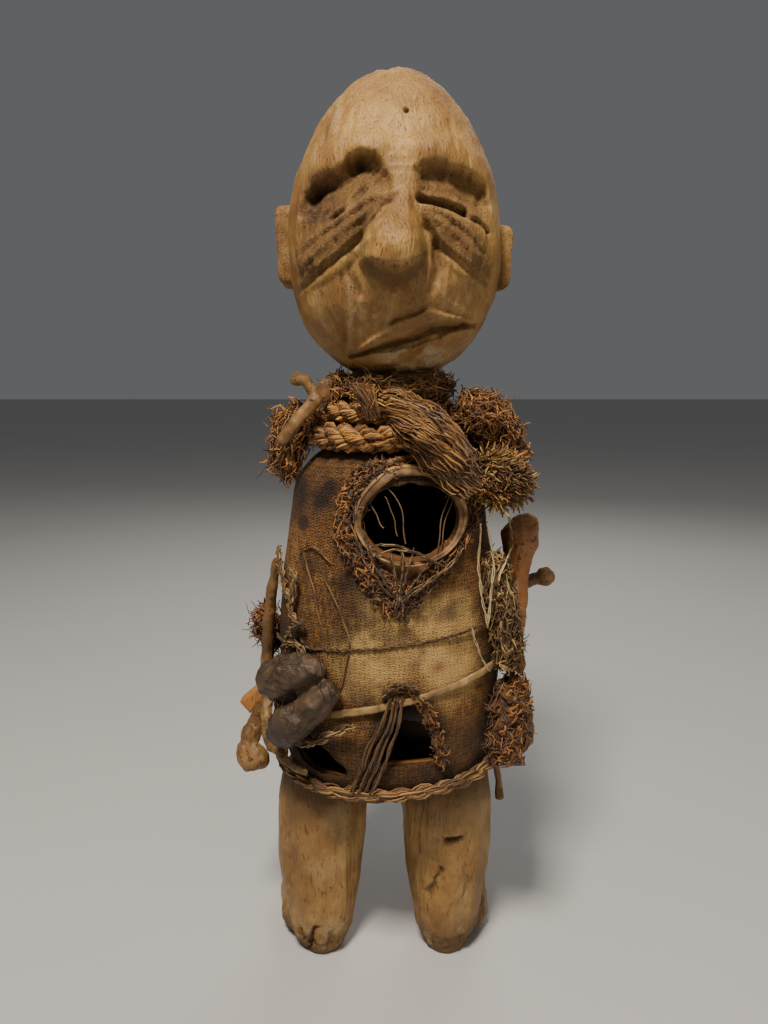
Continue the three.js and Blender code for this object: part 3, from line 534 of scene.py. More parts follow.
class Pen:
    """Adds nodes to a tree and joins them in one go."""

    def __init__(self, tree: Tree) -> None:
        """Keeps the tree that is written."""
        self.tree = tree

    def add(self, kind: str, inputs: dict | None = None, **settings: object) -> bpy.types.Node:
        """Adds a node.

        Args:
            kind: The node's type.
            inputs: Values or outgoing sockets by the name or number of the input.
            settings: The node's own settings.

        Returns:
            The node.
        """
        node = self.tree.nodes.new(kind)
        for key, value in settings.items():
            setattr(node, key, value)
        for key, value in (inputs or {}).items():
            if isinstance(value, Socket):
                self.tree.links.new(value, node.inputs[key])
            else:
                node.inputs[key].default_value = value
        return node

    def math(self, operation: str, *values: object) -> Socket:
        """Result of arithmetic on values or sockets."""
        node = self.add("ShaderNodeMath", dict(enumerate(values)), operation=operation)
        return node.outputs[0]

    def times(self, first: object, second: object) -> Socket:
        """Two values multiplied."""
        return self.math("MULTIPLY", first, second)

    def plus(self, first: object, second: object) -> Socket:
        """Two values added."""
        return self.math("ADD", first, second)

    def minus(self, first: object, second: object) -> Socket:
        """The second value taken from the first."""
        return self.math("SUBTRACT", first, second)

    def over(self, first: object, second: object) -> Socket:
        """The first value divided by the second."""
        return self.math("DIVIDE", first, second)

    def vector(self, operation: str, *values: object) -> Socket:
        """Result of vector arithmetic on values or sockets."""
        node = self.add("ShaderNodeVectorMath", dict(enumerate(values)), operation=operation)
        return node.outputs[1 if operation in ("LENGTH", "DOT_PRODUCT") else 0]

    def plus_vector(self, first: object, second: object) -> Socket:
        """Two vectors added."""
        return self.vector("ADD", first, second)

    def scaled(self, vector: object, by: object) -> Socket:
        """A vector times a number."""
        node = self.add("ShaderNodeVectorMath", {0: vector, "Scale": by}, operation="SCALE")
        return node.outputs[0]

    def noise(self, vector: object, scale: object, detail: float = 3.0, **inputs: float) -> Socket:
        """Noise from 0 to 1 at places."""
        node = self.add("ShaderNodeTexNoise", {"Vector": vector, "Scale": scale, "Detail": detail, **inputs})
        return node.outputs[0]

    def mix(self, share: object, first: object, second: object, blend: str = "MIX") -> Socket:
        """A mix of two colours."""
        node = self.add("ShaderNodeMix", data_type="RGBA", blend_type=blend)
        colours = [socket for socket in node.inputs if socket.type == "RGBA"]
        for socket, value in zip([node.inputs[0], *colours], (share, first, second)):
            if isinstance(value, Socket):
                self.tree.links.new(value, socket)
            else:
                socket.default_value = (*value, 1) if isinstance(value, tuple) else value
        return next(socket for socket in node.outputs if socket.type == "RGBA")

    def step(self, value: object, low: float, high: float) -> Socket:
        """A smooth step from 0 at low to 1 at high."""
        node = self.add("ShaderNodeMapRange", {0: value, 1: low, 2: high}, interpolation_type="SMOOTHSTEP")
        return node.outputs[0]


def start_group(name: str, kind: str, inputs: dict[str, tuple], outputs: dict[str, str]) -> tuple:
    """Starts a node group with named sockets.

    Args:
        name: The group's name.
        kind: The type of its tree.
        inputs: Socket type and first value of each input by name.
        outputs: Socket type of each output by name.

    Returns:
        The pen, the inputs' sockets by name and the node that takes the outputs.
    """
    tree = bpy.data.node_groups.new(name, kind)
    for key, (socket_type, value) in inputs.items():
        socket = tree.interface.new_socket(key, in_out="INPUT", socket_type=socket_type)
        if value is not None:
            socket.default_value = value
    for key, socket_type in outputs.items():
        tree.interface.new_socket(key, in_out="OUTPUT", socket_type=socket_type)
    pen = Pen(tree)
    given = pen.add("NodeGroupInput")
    return pen, {key: given.outputs[key] for key in inputs}, pen.add("NodeGroupOutput")


FLOAT, INT, VECTOR = "NodeSocketFloat", "NodeSocketInt", "NodeSocketVector"
GEOMETRY, MATERIAL = "NodeSocketGeometry", "NodeSocketMaterial"


def put_out(pen: Pen, out: bpy.types.Node, values: dict[str, Socket]) -> Tree:
    """Joins a group's results to its outputs and gives back its tree."""
    for key, value in values.items():
        pen.tree.links.new(value, out.inputs[key])
    return pen.tree


def grain_group() -> Tree:
    """Wood grain that runs up and down: fibre streaks, open pores and a height for the bump."""
    sockets = {"Vector": (VECTOR, None), "Scale": (FLOAT, 60.0), "Stretch": (FLOAT, 0.12)}
    pen, given, out = start_group("wood_grain", "ShaderNodeTree", sockets, {
        "Streak": FLOAT, "Pore": FLOAT, "Height": FLOAT,
    })
    split = pen.add("ShaderNodeSeparateXYZ", {0: given["Vector"]})
    wander = pen.times(pen.noise(given["Vector"], 9.0, 2.0), 0.05)
    squeezed = pen.add("ShaderNodeCombineXYZ", {
        0: pen.plus(split.outputs[0], wander),
        1: pen.minus(split.outputs[1], wander),
        2: pen.times(split.outputs[2], given["Stretch"]),
    }).outputs[0]
    broad = pen.noise(squeezed, given["Scale"], 4.0)
    fine = pen.noise(squeezed, pen.times(given["Scale"], 7.0), 3.0)
    streak = pen.step(pen.plus(pen.times(broad, 0.65), pen.times(fine, 0.35)), 0.3, 0.7)
    pore = pen.step(pen.noise(squeezed, pen.times(given["Scale"], 14.0), 2.0), 0.63, 0.75)
    height = pen.minus(pen.plus(pen.times(streak, 0.5), pen.times(fine, 0.5)), pore)
    return put_out(pen, out, {"Streak": streak, "Pore": pore, "Height": height})


def grime_group() -> Tree:
    """Dirt and dried crust: a blotchy mask with crumbs."""
    sockets = {
        "Vector": (VECTOR, None), "Scale": (FLOAT, 18.0), "Amount": (FLOAT, 0.5), "Softness": (FLOAT, 0.16),
    }
    pen, given, out = start_group("grime", "ShaderNodeTree", sockets, {"Mask": FLOAT, "Crumb": FLOAT})
    blotch = pen.noise(given["Vector"], given["Scale"], 6.0, Roughness=0.62)
    edge = pen.minus(1.0, given["Amount"])
    over = pen.minus(blotch, pen.plus(pen.times(edge, 0.5), 0.25))
    sharp = {0: pen.over(over, given["Softness"]), 1: 0.5}
    mask = pen.add("ShaderNodeMath", sharp, operation="ADD", use_clamp=True)
    crumb = pen.noise(given["Vector"], pen.times(given["Scale"], 22.0), 3.0, Roughness=0.7)
    return put_out(pen, out, {"Mask": mask.outputs[0], "Crumb": crumb})


def weave_group() -> Tree:
    """Plain weave over a map in mm: threads over and under, dark gaps between and a height."""
    sockets = {"Across": (FLOAT, None), "Up": (FLOAT, None), "Pitch": (FLOAT, 4.0)}
    results = {"Thread": FLOAT, "Height": FLOAT, "Tint": FLOAT}
    pen, given, out = start_group("weave", "ShaderNodeTree", sockets, results)
    place = pen.add("ShaderNodeCombineXYZ", {0: given["Across"], 1: given["Up"]}).outputs[0]
    wander = pen.times(pen.minus(pen.noise(place, 0.12, 4.0), 0.5), 3.2)
    across = pen.over(pen.plus(given["Across"], wander), given["Pitch"])
    up = pen.over(pen.plus(given["Up"], wander), given["Pitch"])
    turn_across, turn_up = (pen.times(value, math.pi) for value in (across, up))
    warp = pen.math("ABSOLUTE", pen.math("SINE", turn_across))
    weft = pen.math("ABSOLUTE", pen.math("SINE", turn_up))
    over = pen.times(pen.math("COSINE", turn_across), pen.math("COSINE", turn_up))
    lean = pen.times(over, 0.5)
    warp_height = pen.times(pen.math("POWER", warp, 0.6), pen.plus(0.55, lean))
    weft_height = pen.times(pen.math("POWER", weft, 0.6), pen.minus(0.55, lean))
    height = pen.math("MAXIMUM", warp_height, weft_height)
    cell = pen.add("ShaderNodeTexWhiteNoise", {
        "Vector": pen.add("ShaderNodeCombineXYZ", {
            0: pen.math("FLOOR", across), 1: pen.math("FLOOR", pen.plus(up, 0.5)),
        }).outputs[0],
    }, noise_dimensions="2D")
    fibres = pen.noise(place, 3.2, 3.0)
    return put_out(pen, out, {
        "Thread": pen.step(height, 0.22, 0.6),
        "Height": pen.plus(height, pen.times(fibres, 0.25)),
        "Tint": pen.plus(pen.times(cell.outputs[0], 0.5), pen.times(fibres, 0.5)),
    })


def streak_group() -> Tree:
    """Straw and fibre: tone of each strand, streaks along it and dirt that lies in patches."""
    sockets = {"Vector": (VECTOR, None), "Tone": (FLOAT, 0.5), "Along": (FLOAT, 0.0)}
    results = {"Shade": FLOAT, "Dirt": FLOAT, "Height": FLOAT}
    pen, given, out = start_group("fibre_streak", "ShaderNodeTree", sockets, results)
    line = {0: pen.times(given["Along"], 60.0), 1: pen.times(given["Tone"], 90.0)}
    line = pen.add("ShaderNodeCombineXYZ", line)
    run = pen.noise(line.outputs[0], 1.0, 3.0)
    shade = pen.plus(pen.times(given["Tone"], 0.65), pen.times(run, 0.35))
    dirt = pen.step(pen.noise(given["Vector"], 45.0, 4.0), 0.45, 0.68)
    height = pen.noise(given["Vector"], 1400.0, 2.0)
    return put_out(pen, out, {"Shade": shade, "Dirt": dirt, "Height": height})


class Effects:
    """The surface effects that several finishes share."""

    def __init__(self) -> None:
        """Builds each group once."""
        self.grain = grain_group()
        self.grime = grime_group()
        self.weave = weave_group()
        self.streak = streak_group()


EFFECTS = Effects()


class Surface:
    """A material in the making, with its Principled shader ready."""

    def __init__(self, name: str, roughness: float, sheen: float = 0.0) -> None:
        """Makes the material with its plain values."""
        self.material = bpy.data.materials.new(f"worn_{name}")
        self.material.use_nodes = True
        self.pen = Pen(self.material.node_tree)
        self.shader = self.material.node_tree.nodes["Principled BSDF"]
        self.shader.inputs["Roughness"].default_value = roughness
        self.shader.inputs["Sheen Weight"].default_value = sheen
        self.place = self.pen.add("ShaderNodeTexCoord").outputs["Object"]
        self.colour = None

    def group(self, tree: Tree, **inputs: object) -> bpy.types.NodeOutputs:
        """Outputs of a shared effect placed in this material."""
        return self.pen.add("ShaderNodeGroup", inputs, node_tree=tree).outputs

    def grain(self, scale: float, stretch: float) -> bpy.types.NodeOutputs:
        """Wood grain of a scale, squeezed by a share along the fibres."""
        return self.group(EFFECTS.grain, Vector=self.place, Scale=scale, Stretch=stretch)

    def grime(self, scale: float, amount: float, softness: float) -> bpy.types.NodeOutputs:
        """Blotches of dirt with a scale, an amount and soft edges."""
        return self.group(EFFECTS.grime, Vector=self.place, Scale=scale, Amount=amount, Softness=softness)

    def coat(self, colour: object, share: object, *factors: object) -> None:
        """Lays a colour over those before it, as far as a share times further factors goes."""
        for factor in factors:
            share = self.pen.times(share, factor)
        self.colour = self.pen.mix(share, self.colour, colour)

    def map(self, name: str) -> Socket:
        """A value kept on the mesh's corners."""
        return self.pen.add("ShaderNodeAttribute", attribute_name=name).outputs["Fac"]

    def finish(self, height: object, depth: float, roughness: object = None) -> bpy.types.Material:
        """Joins colour, bump and roughness to the shader.

        Args:
            height: Socket of the bump's height.
            depth: Bump's depth in mm.
            roughness: Socket of the roughness, where it changes.

        Returns:
            The finished material.
        """
        links = self.pen.tree.links
        links.new(self.colour, self.shader.inputs["Base Color"])
        bump = self.pen.add("ShaderNodeBump", {"Height": height, "Distance": depth * MM, "Strength": 1.0})
        links.new(bump.outputs[0], self.shader.inputs["Normal"])
        if roughness is not None:
            links.new(roughness, self.shader.inputs["Roughness"])
        return self.material


def shade(colour: Colour, by: float) -> Colour:
    """A colour made lighter or darker."""
    return tuple(part * by for part in colour)


@dataclass(frozen=True)
class WoodFinish:
    """Old carved wood: grain, painted shade in the hollows, pale scuffs and dark stains."""

    name: str
    light: Colour
    middle: Colour
    dark: Colour
    pale: Colour
    grain: float = 48.0
    stain: float = 0.42
    roughness: float = 0.62
    crumb: Colour = (0.56, 0.42, 0.23)

    def material(self) -> bpy.types.Material:
        """Builds the material, which reads the maps hollow (painted shade), torn and crust."""
        surface = Surface(self.name, self.roughness)
        pen = surface.pen
        grain = surface.grain(self.grain * 1.6, 0.13)
        blotch = surface.grime(13.0, self.stain, 0.16)
        scuff = surface.grime(31.0, 0.4, 0.14)
        warm = surface.grime(9.0, 0.5, 0.3)
        hollow, torn, crust = (surface.map(name) for name in ("hollow", "torn", "crust"))
        surface.colour = pen.mix(grain["Streak"], self.middle, self.light)
        surface.coat(self.pale, warm["Mask"], 0.4)
        surface.coat(shade(self.dark, 1.7), blotch["Mask"], 0.62)
        surface.coat(self.pale, scuff["Mask"], 0.35)
        surface.coat(shade(self.dark, 1.8), torn, pen.plus(0.4, pen.times(scuff["Mask"], 0.5)))
        # Painted shade wherever the hollow map is high.
        surface.coat(shade(self.dark, 0.7), hollow, 0.9)
        surface.coat(self.dark, grain["Pore"], 0.5)
        surface.coat(self.crumb, crust, pen.step(scuff["Crumb"], 0.3, 0.5))
        crumbs = pen.times(pen.step(scuff["Crumb"], 0.42, 0.6), torn)
        height = pen.plus(grain["Height"], pen.times(crumbs, 0.9))
        height = pen.plus(height, pen.times(crust, pen.times(scuff["Crumb"], 2.0)))
        worn = pen.plus(self.roughness - 0.14, pen.times(blotch["Crumb"], 0.3))
        return surface.finish(height, 1.15, pen.plus(worn, pen.times(torn, 0.2)))


@dataclass(frozen=True)
class SackingFinish:
    """Coarse sackcloth, stiff with dried mud, darker above and pale below, with painted shade at its sides
    and along its foot.
    """

    name: str
    thread: Colour
    dark: Colour
    gap: Colour
    clay: Colour
    spot: Colour = (0.2, 0.045, 0.02)
    pitch: float = 3.3
    roughness: float = 0.86

    def material(self) -> bpy.types.Material:
        """Builds the material, which reads the maps across, up, clay, spot and the dark map of patches and
        painted shade.
        """
        surface = Surface(self.name, self.roughness)
        pen = surface.pen
        across, up = surface.map("across"), surface.map("up")
        weave = surface.group(EFFECTS.weave, Across=across, Up=up, Pitch=self.pitch)
        dirt = surface.grime(15.0, 0.5, 0.25)
        fine = surface.grime(42.0, 0.55, 0.2)
        clay, dark_patches_and_shade, spot = (surface.map(name) for name in ("clay", "dark_patches_and_shade", "spot"))
        open_gap = pen.minus(1.0, weave["Thread"])
        filled = pen.times(clay, pen.plus(0.5, pen.times(fine["Mask"], 0.5)))
        surface.colour = pen.mix(weave["Tint"], self.dark, self.thread)
        surface.coat(self.dark, dirt["Mask"], 0.55)
        surface.coat(self.gap, open_gap, 0.62)
        surface.coat(self.clay, filled, 0.85)
        surface.coat(self.dark, open_gap, pen.times(clay, 0.25))
        # Dark patches, with painted shade at both sides and along the foot.
        surface.coat(self.gap, dark_patches_and_shade, pen.plus(0.5, pen.times(dirt["Mask"], 0.45)))
        surface.coat(self.spot, spot, 0.8)
        soft = pen.minus(1.0, pen.times(filled, 0.6))
        height = pen.plus(pen.times(weave["Height"], soft), pen.times(fine["Crumb"], 0.5))
        return surface.finish(height, 3.4, pen.minus(self.roughness, pen.times(filled, 0.34)))


@dataclass(frozen=True)
class FibreFinish:
    """Straw, raffia, cord or cane made of strands that each have their own tone."""

    name: str
    light: Colour
    middle: Colour
    dark: Colour
    bright: Colour
    roughness: float = 0.72

    def material(self) -> bpy.types.Material:
        """Builds the material, which reads the maps tone and along."""
        surface = Surface(self.name, self.roughness, sheen=0.1)
        pen = surface.pen
        tone = surface.map("tone")
        streak = surface.group(EFFECTS.streak, Vector=surface.place, Tone=tone, Along=surface.map("along"))
        surface.colour = pen.mix(pen.step(streak["Shade"], 0.15, 0.55), self.dark, self.middle)
        surface.coat(self.light, pen.step(streak["Shade"], 0.5, 0.8))
        surface.coat(self.bright, pen.step(tone, 0.965, 0.975))
        surface.coat(self.dark, streak["Dirt"], 0.55)
        return surface.finish(streak["Height"], 0.15)


@dataclass(frozen=True)
class BoneFinish:
    """Dry bone with stains, pits and a worn gloss."""

    name: str
    light: Colour
    stain: Colour
    dark: Colour
    end: Colour
    stained: float = 0.5
    roughness: float = 0.5

    def material(self) -> bpy.types.Material:
        """Builds the material, which reads the maps torn, at the ends, and hollow, painted shade in the
        dents.
        """
        surface = Surface(self.name, self.roughness)
        pen = surface.pen
        grain = surface.grain(70.0, 0.2)
        pits = surface.grime(210.0, 0.22, 0.1)
        torn = surface.map("torn")
        surface.colour = pen.mix(surface.grime(38.0, self.stained, 0.3)["Mask"], self.light, self.stain)
        surface.coat(self.stain, grain["Streak"], 0.45)
        surface.coat(self.end, torn, 0.8)
        surface.coat(self.dark, pits["Mask"], 0.7)
        # Painted shade in the dents.
        surface.coat(self.dark, surface.map("hollow"), 0.75)
        height = pen.minus(pen.times(grain["Height"], 0.4), pits["Mask"])
        height = pen.plus(height, pen.times(torn, pits["Crumb"]))
        return surface.finish(height, 1.0, pen.plus(self.roughness, pen.times(torn, 0.3)))


@dataclass(frozen=True)
class HideFinish:
    """Dried hide, dark, wrinkled and dusty, with painted shade in its creases."""

    name: str
    light: Colour
    dark: Colour
    roughness: float = 0.52

    def material(self) -> bpy.types.Material:
        """Builds the material."""
        surface = Surface(self.name, self.roughness)
        pen = surface.pen
        dust = surface.grime(30.0, 0.5, 0.35)
        folds = pen.noise(surface.place, 46.0, 4.0, Distortion=0.6)
        crease = pen.step(pen.math("ABSOLUTE", pen.minus(folds, 0.5)), 0.0, 0.07)
        surface.colour = pen.mix(pen.times(dust["Mask"], 0.8), self.dark, self.light)
        # Painted shade darkens the creases.
        shown = pen.plus(0.45, pen.times(crease, 0.55))
        surface.colour = pen.mix(shown, shade(self.dark, 0.4), surface.colour)
        return surface.finish(pen.plus(crease, pen.times(dust["Crumb"], 0.8)), 0.7)


@dataclass(frozen=True)
class GourdFinish:
    """Calabash shell: brown, smooth and scraped, and near black inside as painted shade."""

    name: str
    light: Colour
    dark: Colour
    inside_shade: Colour = (0.012, 0.008, 0.006)
    roughness: float = 0.55

    def material(self) -> bpy.types.Material:
        """Builds the material."""
        surface = Surface(self.name, self.roughness)
        pen = surface.pen
        scuff = surface.grime(34.0, 0.52, 0.3)
        grain = surface.grain(50.0, 0.4)
        surface.colour = pen.mix(scuff["Mask"], self.dark, self.light)
        surface.coat(self.dark, grain["Streak"], 0.35)
        # The inside is painted near black as shade.
        surface.coat(self.inside_shade, surface.map("inside"), 0.93)
        return surface.finish(pen.plus(grain["Height"], scuff["Crumb"]), 0.35)


class Finish(Enum):
    """Every finish on the figure."""

    HEAD = WoodFinish(
        "head_wood", (0.42, 0.218, 0.045), (0.25, 0.108, 0.02), (0.075, 0.028, 0.006), (0.49, 0.32, 0.1),
        stain=0.58, roughness=0.58,
    )
    LEGS = WoodFinish(
        "leg_wood", (0.4, 0.218, 0.052), (0.27, 0.128, 0.028), (0.075, 0.03, 0.007), (0.46, 0.32, 0.13),
        grain=40.0, stain=0.58, roughness=0.5,
    )
    PEG = WoodFinish(
        "peg_wood", (0.42, 0.162, 0.034), (0.3, 0.104, 0.02), (0.1, 0.033, 0.008), (0.5, 0.228, 0.061),
    )
    SACKING = SackingFinish(
        "sackcloth", (0.52, 0.24, 0.052), (0.1, 0.038, 0.009), (0.02, 0.008, 0.003), (0.66, 0.42, 0.14),
    )
    ROPE = FibreFinish(
        "straw_rope", (0.54, 0.28, 0.064), (0.29, 0.125, 0.026), (0.07, 0.025, 0.006), (0.62, 0.228, 0.034),
    )
    STRAW = FibreFinish(
        "dark_straw", (0.46, 0.22, 0.046), (0.22, 0.085, 0.017), (0.05, 0.018, 0.005), (0.62, 0.19, 0.027),
    )
    CRUST = FibreFinish(
        "fibre_crust", (0.34, 0.145, 0.03), (0.13, 0.048, 0.011), (0.032, 0.012, 0.004), (0.5, 0.2, 0.035),
    )
    RING = FibreFinish(
        "foot_straw", (0.42, 0.235, 0.07), (0.17, 0.075, 0.02), (0.04, 0.016, 0.005), (0.5, 0.2, 0.04),
    )
    TUFT = FibreFinish(
        "red_tuft", (0.34, 0.14, 0.035), (0.17, 0.06, 0.015), (0.04, 0.014, 0.005), (0.5, 0.17, 0.03),
    )
    BRUSH = FibreFinish(
        "brush_straw", (0.42, 0.314, 0.082), (0.27, 0.119, 0.026), (0.07, 0.028, 0.008), (0.6, 0.19, 0.034),
    )
    RAFFIA = FibreFinish(
        "raffia", (0.45, 0.235, 0.062), (0.25, 0.11, 0.027), (0.055, 0.021, 0.006), (0.58, 0.36, 0.12),
        roughness=0.42,
    )
    TWINE = FibreFinish(
        "twine", (0.42, 0.266, 0.088), (0.19, 0.1, 0.029), (0.045, 0.021, 0.007), (0.5, 0.361, 0.15),
    )
    DARK_TWINE = FibreFinish(
        "dark_twine", (0.24, 0.123, 0.034), (0.11, 0.049, 0.014), (0.03, 0.012, 0.005), (0.35, 0.209, 0.068),
    )
    PALE_TWINE = FibreFinish(
        "pale_twine", (0.56, 0.437, 0.218), (0.4, 0.275, 0.116), (0.14, 0.081, 0.027), (0.6, 0.475, 0.245),
    )
    STRIP = FibreFinish(
        "pale_strip", (0.52, 0.37, 0.16), (0.34, 0.21, 0.075), (0.1, 0.05, 0.016), (0.5, 0.36, 0.16),
    )
    CANE = FibreFinish(
        "split_cane", (0.4, 0.22, 0.08), (0.2, 0.098, 0.028), (0.05, 0.022, 0.007), (0.42, 0.28, 0.12),
        roughness=0.6,
    )
    BONE = BoneFinish(
        "old_bone", (0.33, 0.18, 0.055), (0.13, 0.06, 0.017), (0.035, 0.016, 0.006), (0.16, 0.08, 0.024),
        0.62, 0.56,
    )
    STAINED_BONE = BoneFinish(
        "stained_bone", (0.44, 0.185, 0.045), (0.23, 0.08, 0.018), (0.07, 0.022, 0.006), (0.42, 0.22, 0.09),
        0.55, 0.42,
    )
    DARK_BONE = BoneFinish(
        "dark_bone", (0.25, 0.119, 0.034), (0.13, 0.053, 0.014), (0.04, 0.016, 0.005), (0.2, 0.095, 0.027),
    )
    HIDE = HideFinish("dried_hide", (0.125, 0.075, 0.038), (0.03, 0.015, 0.008))
    STRAP = HideFinish("hide_strap", (0.36, 0.209, 0.068), (0.13, 0.063, 0.018))
    GOURD = GourdFinish("calabash_skin", (0.3, 0.128, 0.031), (0.12, 0.044, 0.012))

    def material(self) -> bpy.types.Material:
        """The finish's material, built once."""
        found = bpy.data.materials.get(f"worn_{self.value.name}")
        return found or self.value.material()


# Fibres made by Geometry Nodes


def random_value(pen: Pen, number: object, seed: object, low: float = 0.0, high: float = 1.0) -> Socket:
    """A random number between two values for each numbered element."""
    inputs = {2: low, 3: high, "ID": number, "Seed": seed}
    return pen.add("FunctionNodeRandomValue", inputs, data_type="FLOAT").outputs[1]


def store(pen: Pen, geometry: object, name: str, value: object) -> Socket:
    """Geometry with a named number kept on its points."""
    node = pen.add(
        "GeometryNodeStoreNamedAttribute", {"Geometry": geometry, "Name": name, "Value": value},
        data_type="FLOAT", domain="POINT",
    )
    return node.outputs[0]


def wheel(pen: Pen, radius: object, angle: object, normal: object, binormal: object) -> Socket:
    """A vector of a radius, turned by an angle round a path."""
    right = pen.scaled(normal, pen.times(radius, pen.math("COSINE", angle)))
    up = pen.scaled(binormal, pen.times(radius, pen.math("SINE", angle)))
    return pen.vector("ADD", right, up)


def close_tree(pen: Pen, curves: object, thickness: object, material: object, out: bpy.types.Node) -> Tree:
    """Gives curves their thickness and material and ends the tree."""
    circle = pen.add("GeometryNodeCurvePrimitiveCircle", {"Resolution": 3, "Radius": 1.0})
    tube = pen.add("GeometryNodeCurveToMesh", {
        "Curve": curves, "Profile Curve": circle.outputs[0], "Scale": thickness, "Fill Caps": True,
    })
    smooth = pen.add("GeometryNodeSetShadeSmooth", {"Geometry": tube.outputs[0]})
    whole = pen.add("GeometryNodeRealizeInstances", {"Geometry": smooth.outputs[0]})
    dressed = pen.add("GeometryNodeSetMaterial", {"Geometry": whole.outputs[0], "Material": material})
    return put_out(pen, out, {"Geometry": dressed.outputs[0]})


def waver(pen: Pen, places: object) -> Socket:
    """A random vector round zero that changes slowly from place to place."""
    noise = pen.add("ShaderNodeTexNoise", {"Vector": places, "Scale": 1.0, "Detail": 1.0})
    return pen.vector("SUBTRACT", noise.outputs["Color"], (0.5, 0.5, 0.5))


def laid_fibre_tree() -> Tree:
    """Rope, cord or hank: strands that wind round a path, each a bundle of single straws."""
    sockets = {
        "Geometry": (GEOMETRY, None), "Strands": (INT, 1), "Straws": (INT, 20), "Winding": (FLOAT, 0.0),
        "Spread": (FLOAT, 0.005), "Turns": (FLOAT, 0.0), "Lay": (FLOAT, 3.0), "Thickness": (FLOAT, 0.0011),
        "Fray": (FLOAT, 0.002), "Ends": (FLOAT, 0.1), "Step": (FLOAT, 0.004), "Seed": (INT, 1),
        "Material": (MATERIAL, None),
    }
    pen, given, out = start_group("laid_fibre", "GeometryNodeTree", sockets, {"Geometry": GEOMETRY})
    spaced = {"Curve": given["Geometry"], "Length": given["Step"]}
    path = pen.add("GeometryNodeResampleCurve", spaced, mode="LENGTH")
    amount = pen.times(given["Strands"], given["Straws"])
    bundle = {"Geometry": path.outputs[0], "Amount": amount}
    copies = pen.add("GeometryNodeDuplicateElements", bundle, domain="SPLINE")
    number = copies.outputs[1]

    def chance(draw: float, low: float = 0.0, high: float = 1.0) -> Socket:
        """A random number for each straw, other for each draw."""
        return random_value(pen, number, pen.plus(given["Seed"], draw), low, high)

    factor = pen.add("GeometryNodeSplineParameter").outputs["Factor"]
    length = pen.add("GeometryNodeSplineParameter").outputs["Length"]
    normal = pen.add("GeometryNodeInputNormal").outputs[0]
    tangent = pen.add("GeometryNodeInputTangent").outputs[0]
    binormal = pen.vector("CROSS_PRODUCT", tangent, normal)
    strand = pen.over(pen.math("MODULO", number, given["Strands"]), given["Strands"])
    winding = pen.times(pen.plus(strand, pen.times(given["Turns"], factor)), TURN)
    inner = pen.times(pen.minus(chance(1.0), pen.times(given["Lay"], factor)), TURN)
    place = wheel(pen, given["Winding"], winding, normal, binormal)
    spread = pen.times(given["Spread"], pen.math("POWER", chance(0.0), 0.3))
    straw = wheel(pen, spread, inner, normal, binormal)
    at = pen.add("GeometryNodeInputPosition").outputs[0]
    stray = waver(pen, pen.plus_vector(pen.scaled(at, 55.0), pen.scaled((0.37, 0.71, 0.53), number)))
    wild = pen.plus(0.35, pen.times(pen.math("POWER", chance(2.0), 3.0), 2.5))
    stray = pen.scaled(stray, pen.times(given["Fray"], wild))
    offset = pen.plus_vector(pen.plus_vector(place, straw), stray)
    moved = pen.add("GeometryNodeSetPosition", {"Geometry": copies.outputs[0], "Offset": offset})
    curves = store(pen, store(pen, moved.outputs[0], "tone", chance(3.0)), "along", length)
    trim = pen.add("GeometryNodeTrimCurve", {
        "Curve": curves, "Start": pen.times(given["Ends"], chance(4.0)),
        "End": pen.minus(1.0, pen.times(given["Ends"], chance(5.0))),
    }, mode="FACTOR")
    girth = pen.times(given["Thickness"], chance(6.0, 0.3, 0.7))
    return close_tree(pen, trim.outputs[0], girth, given["Material"], out)


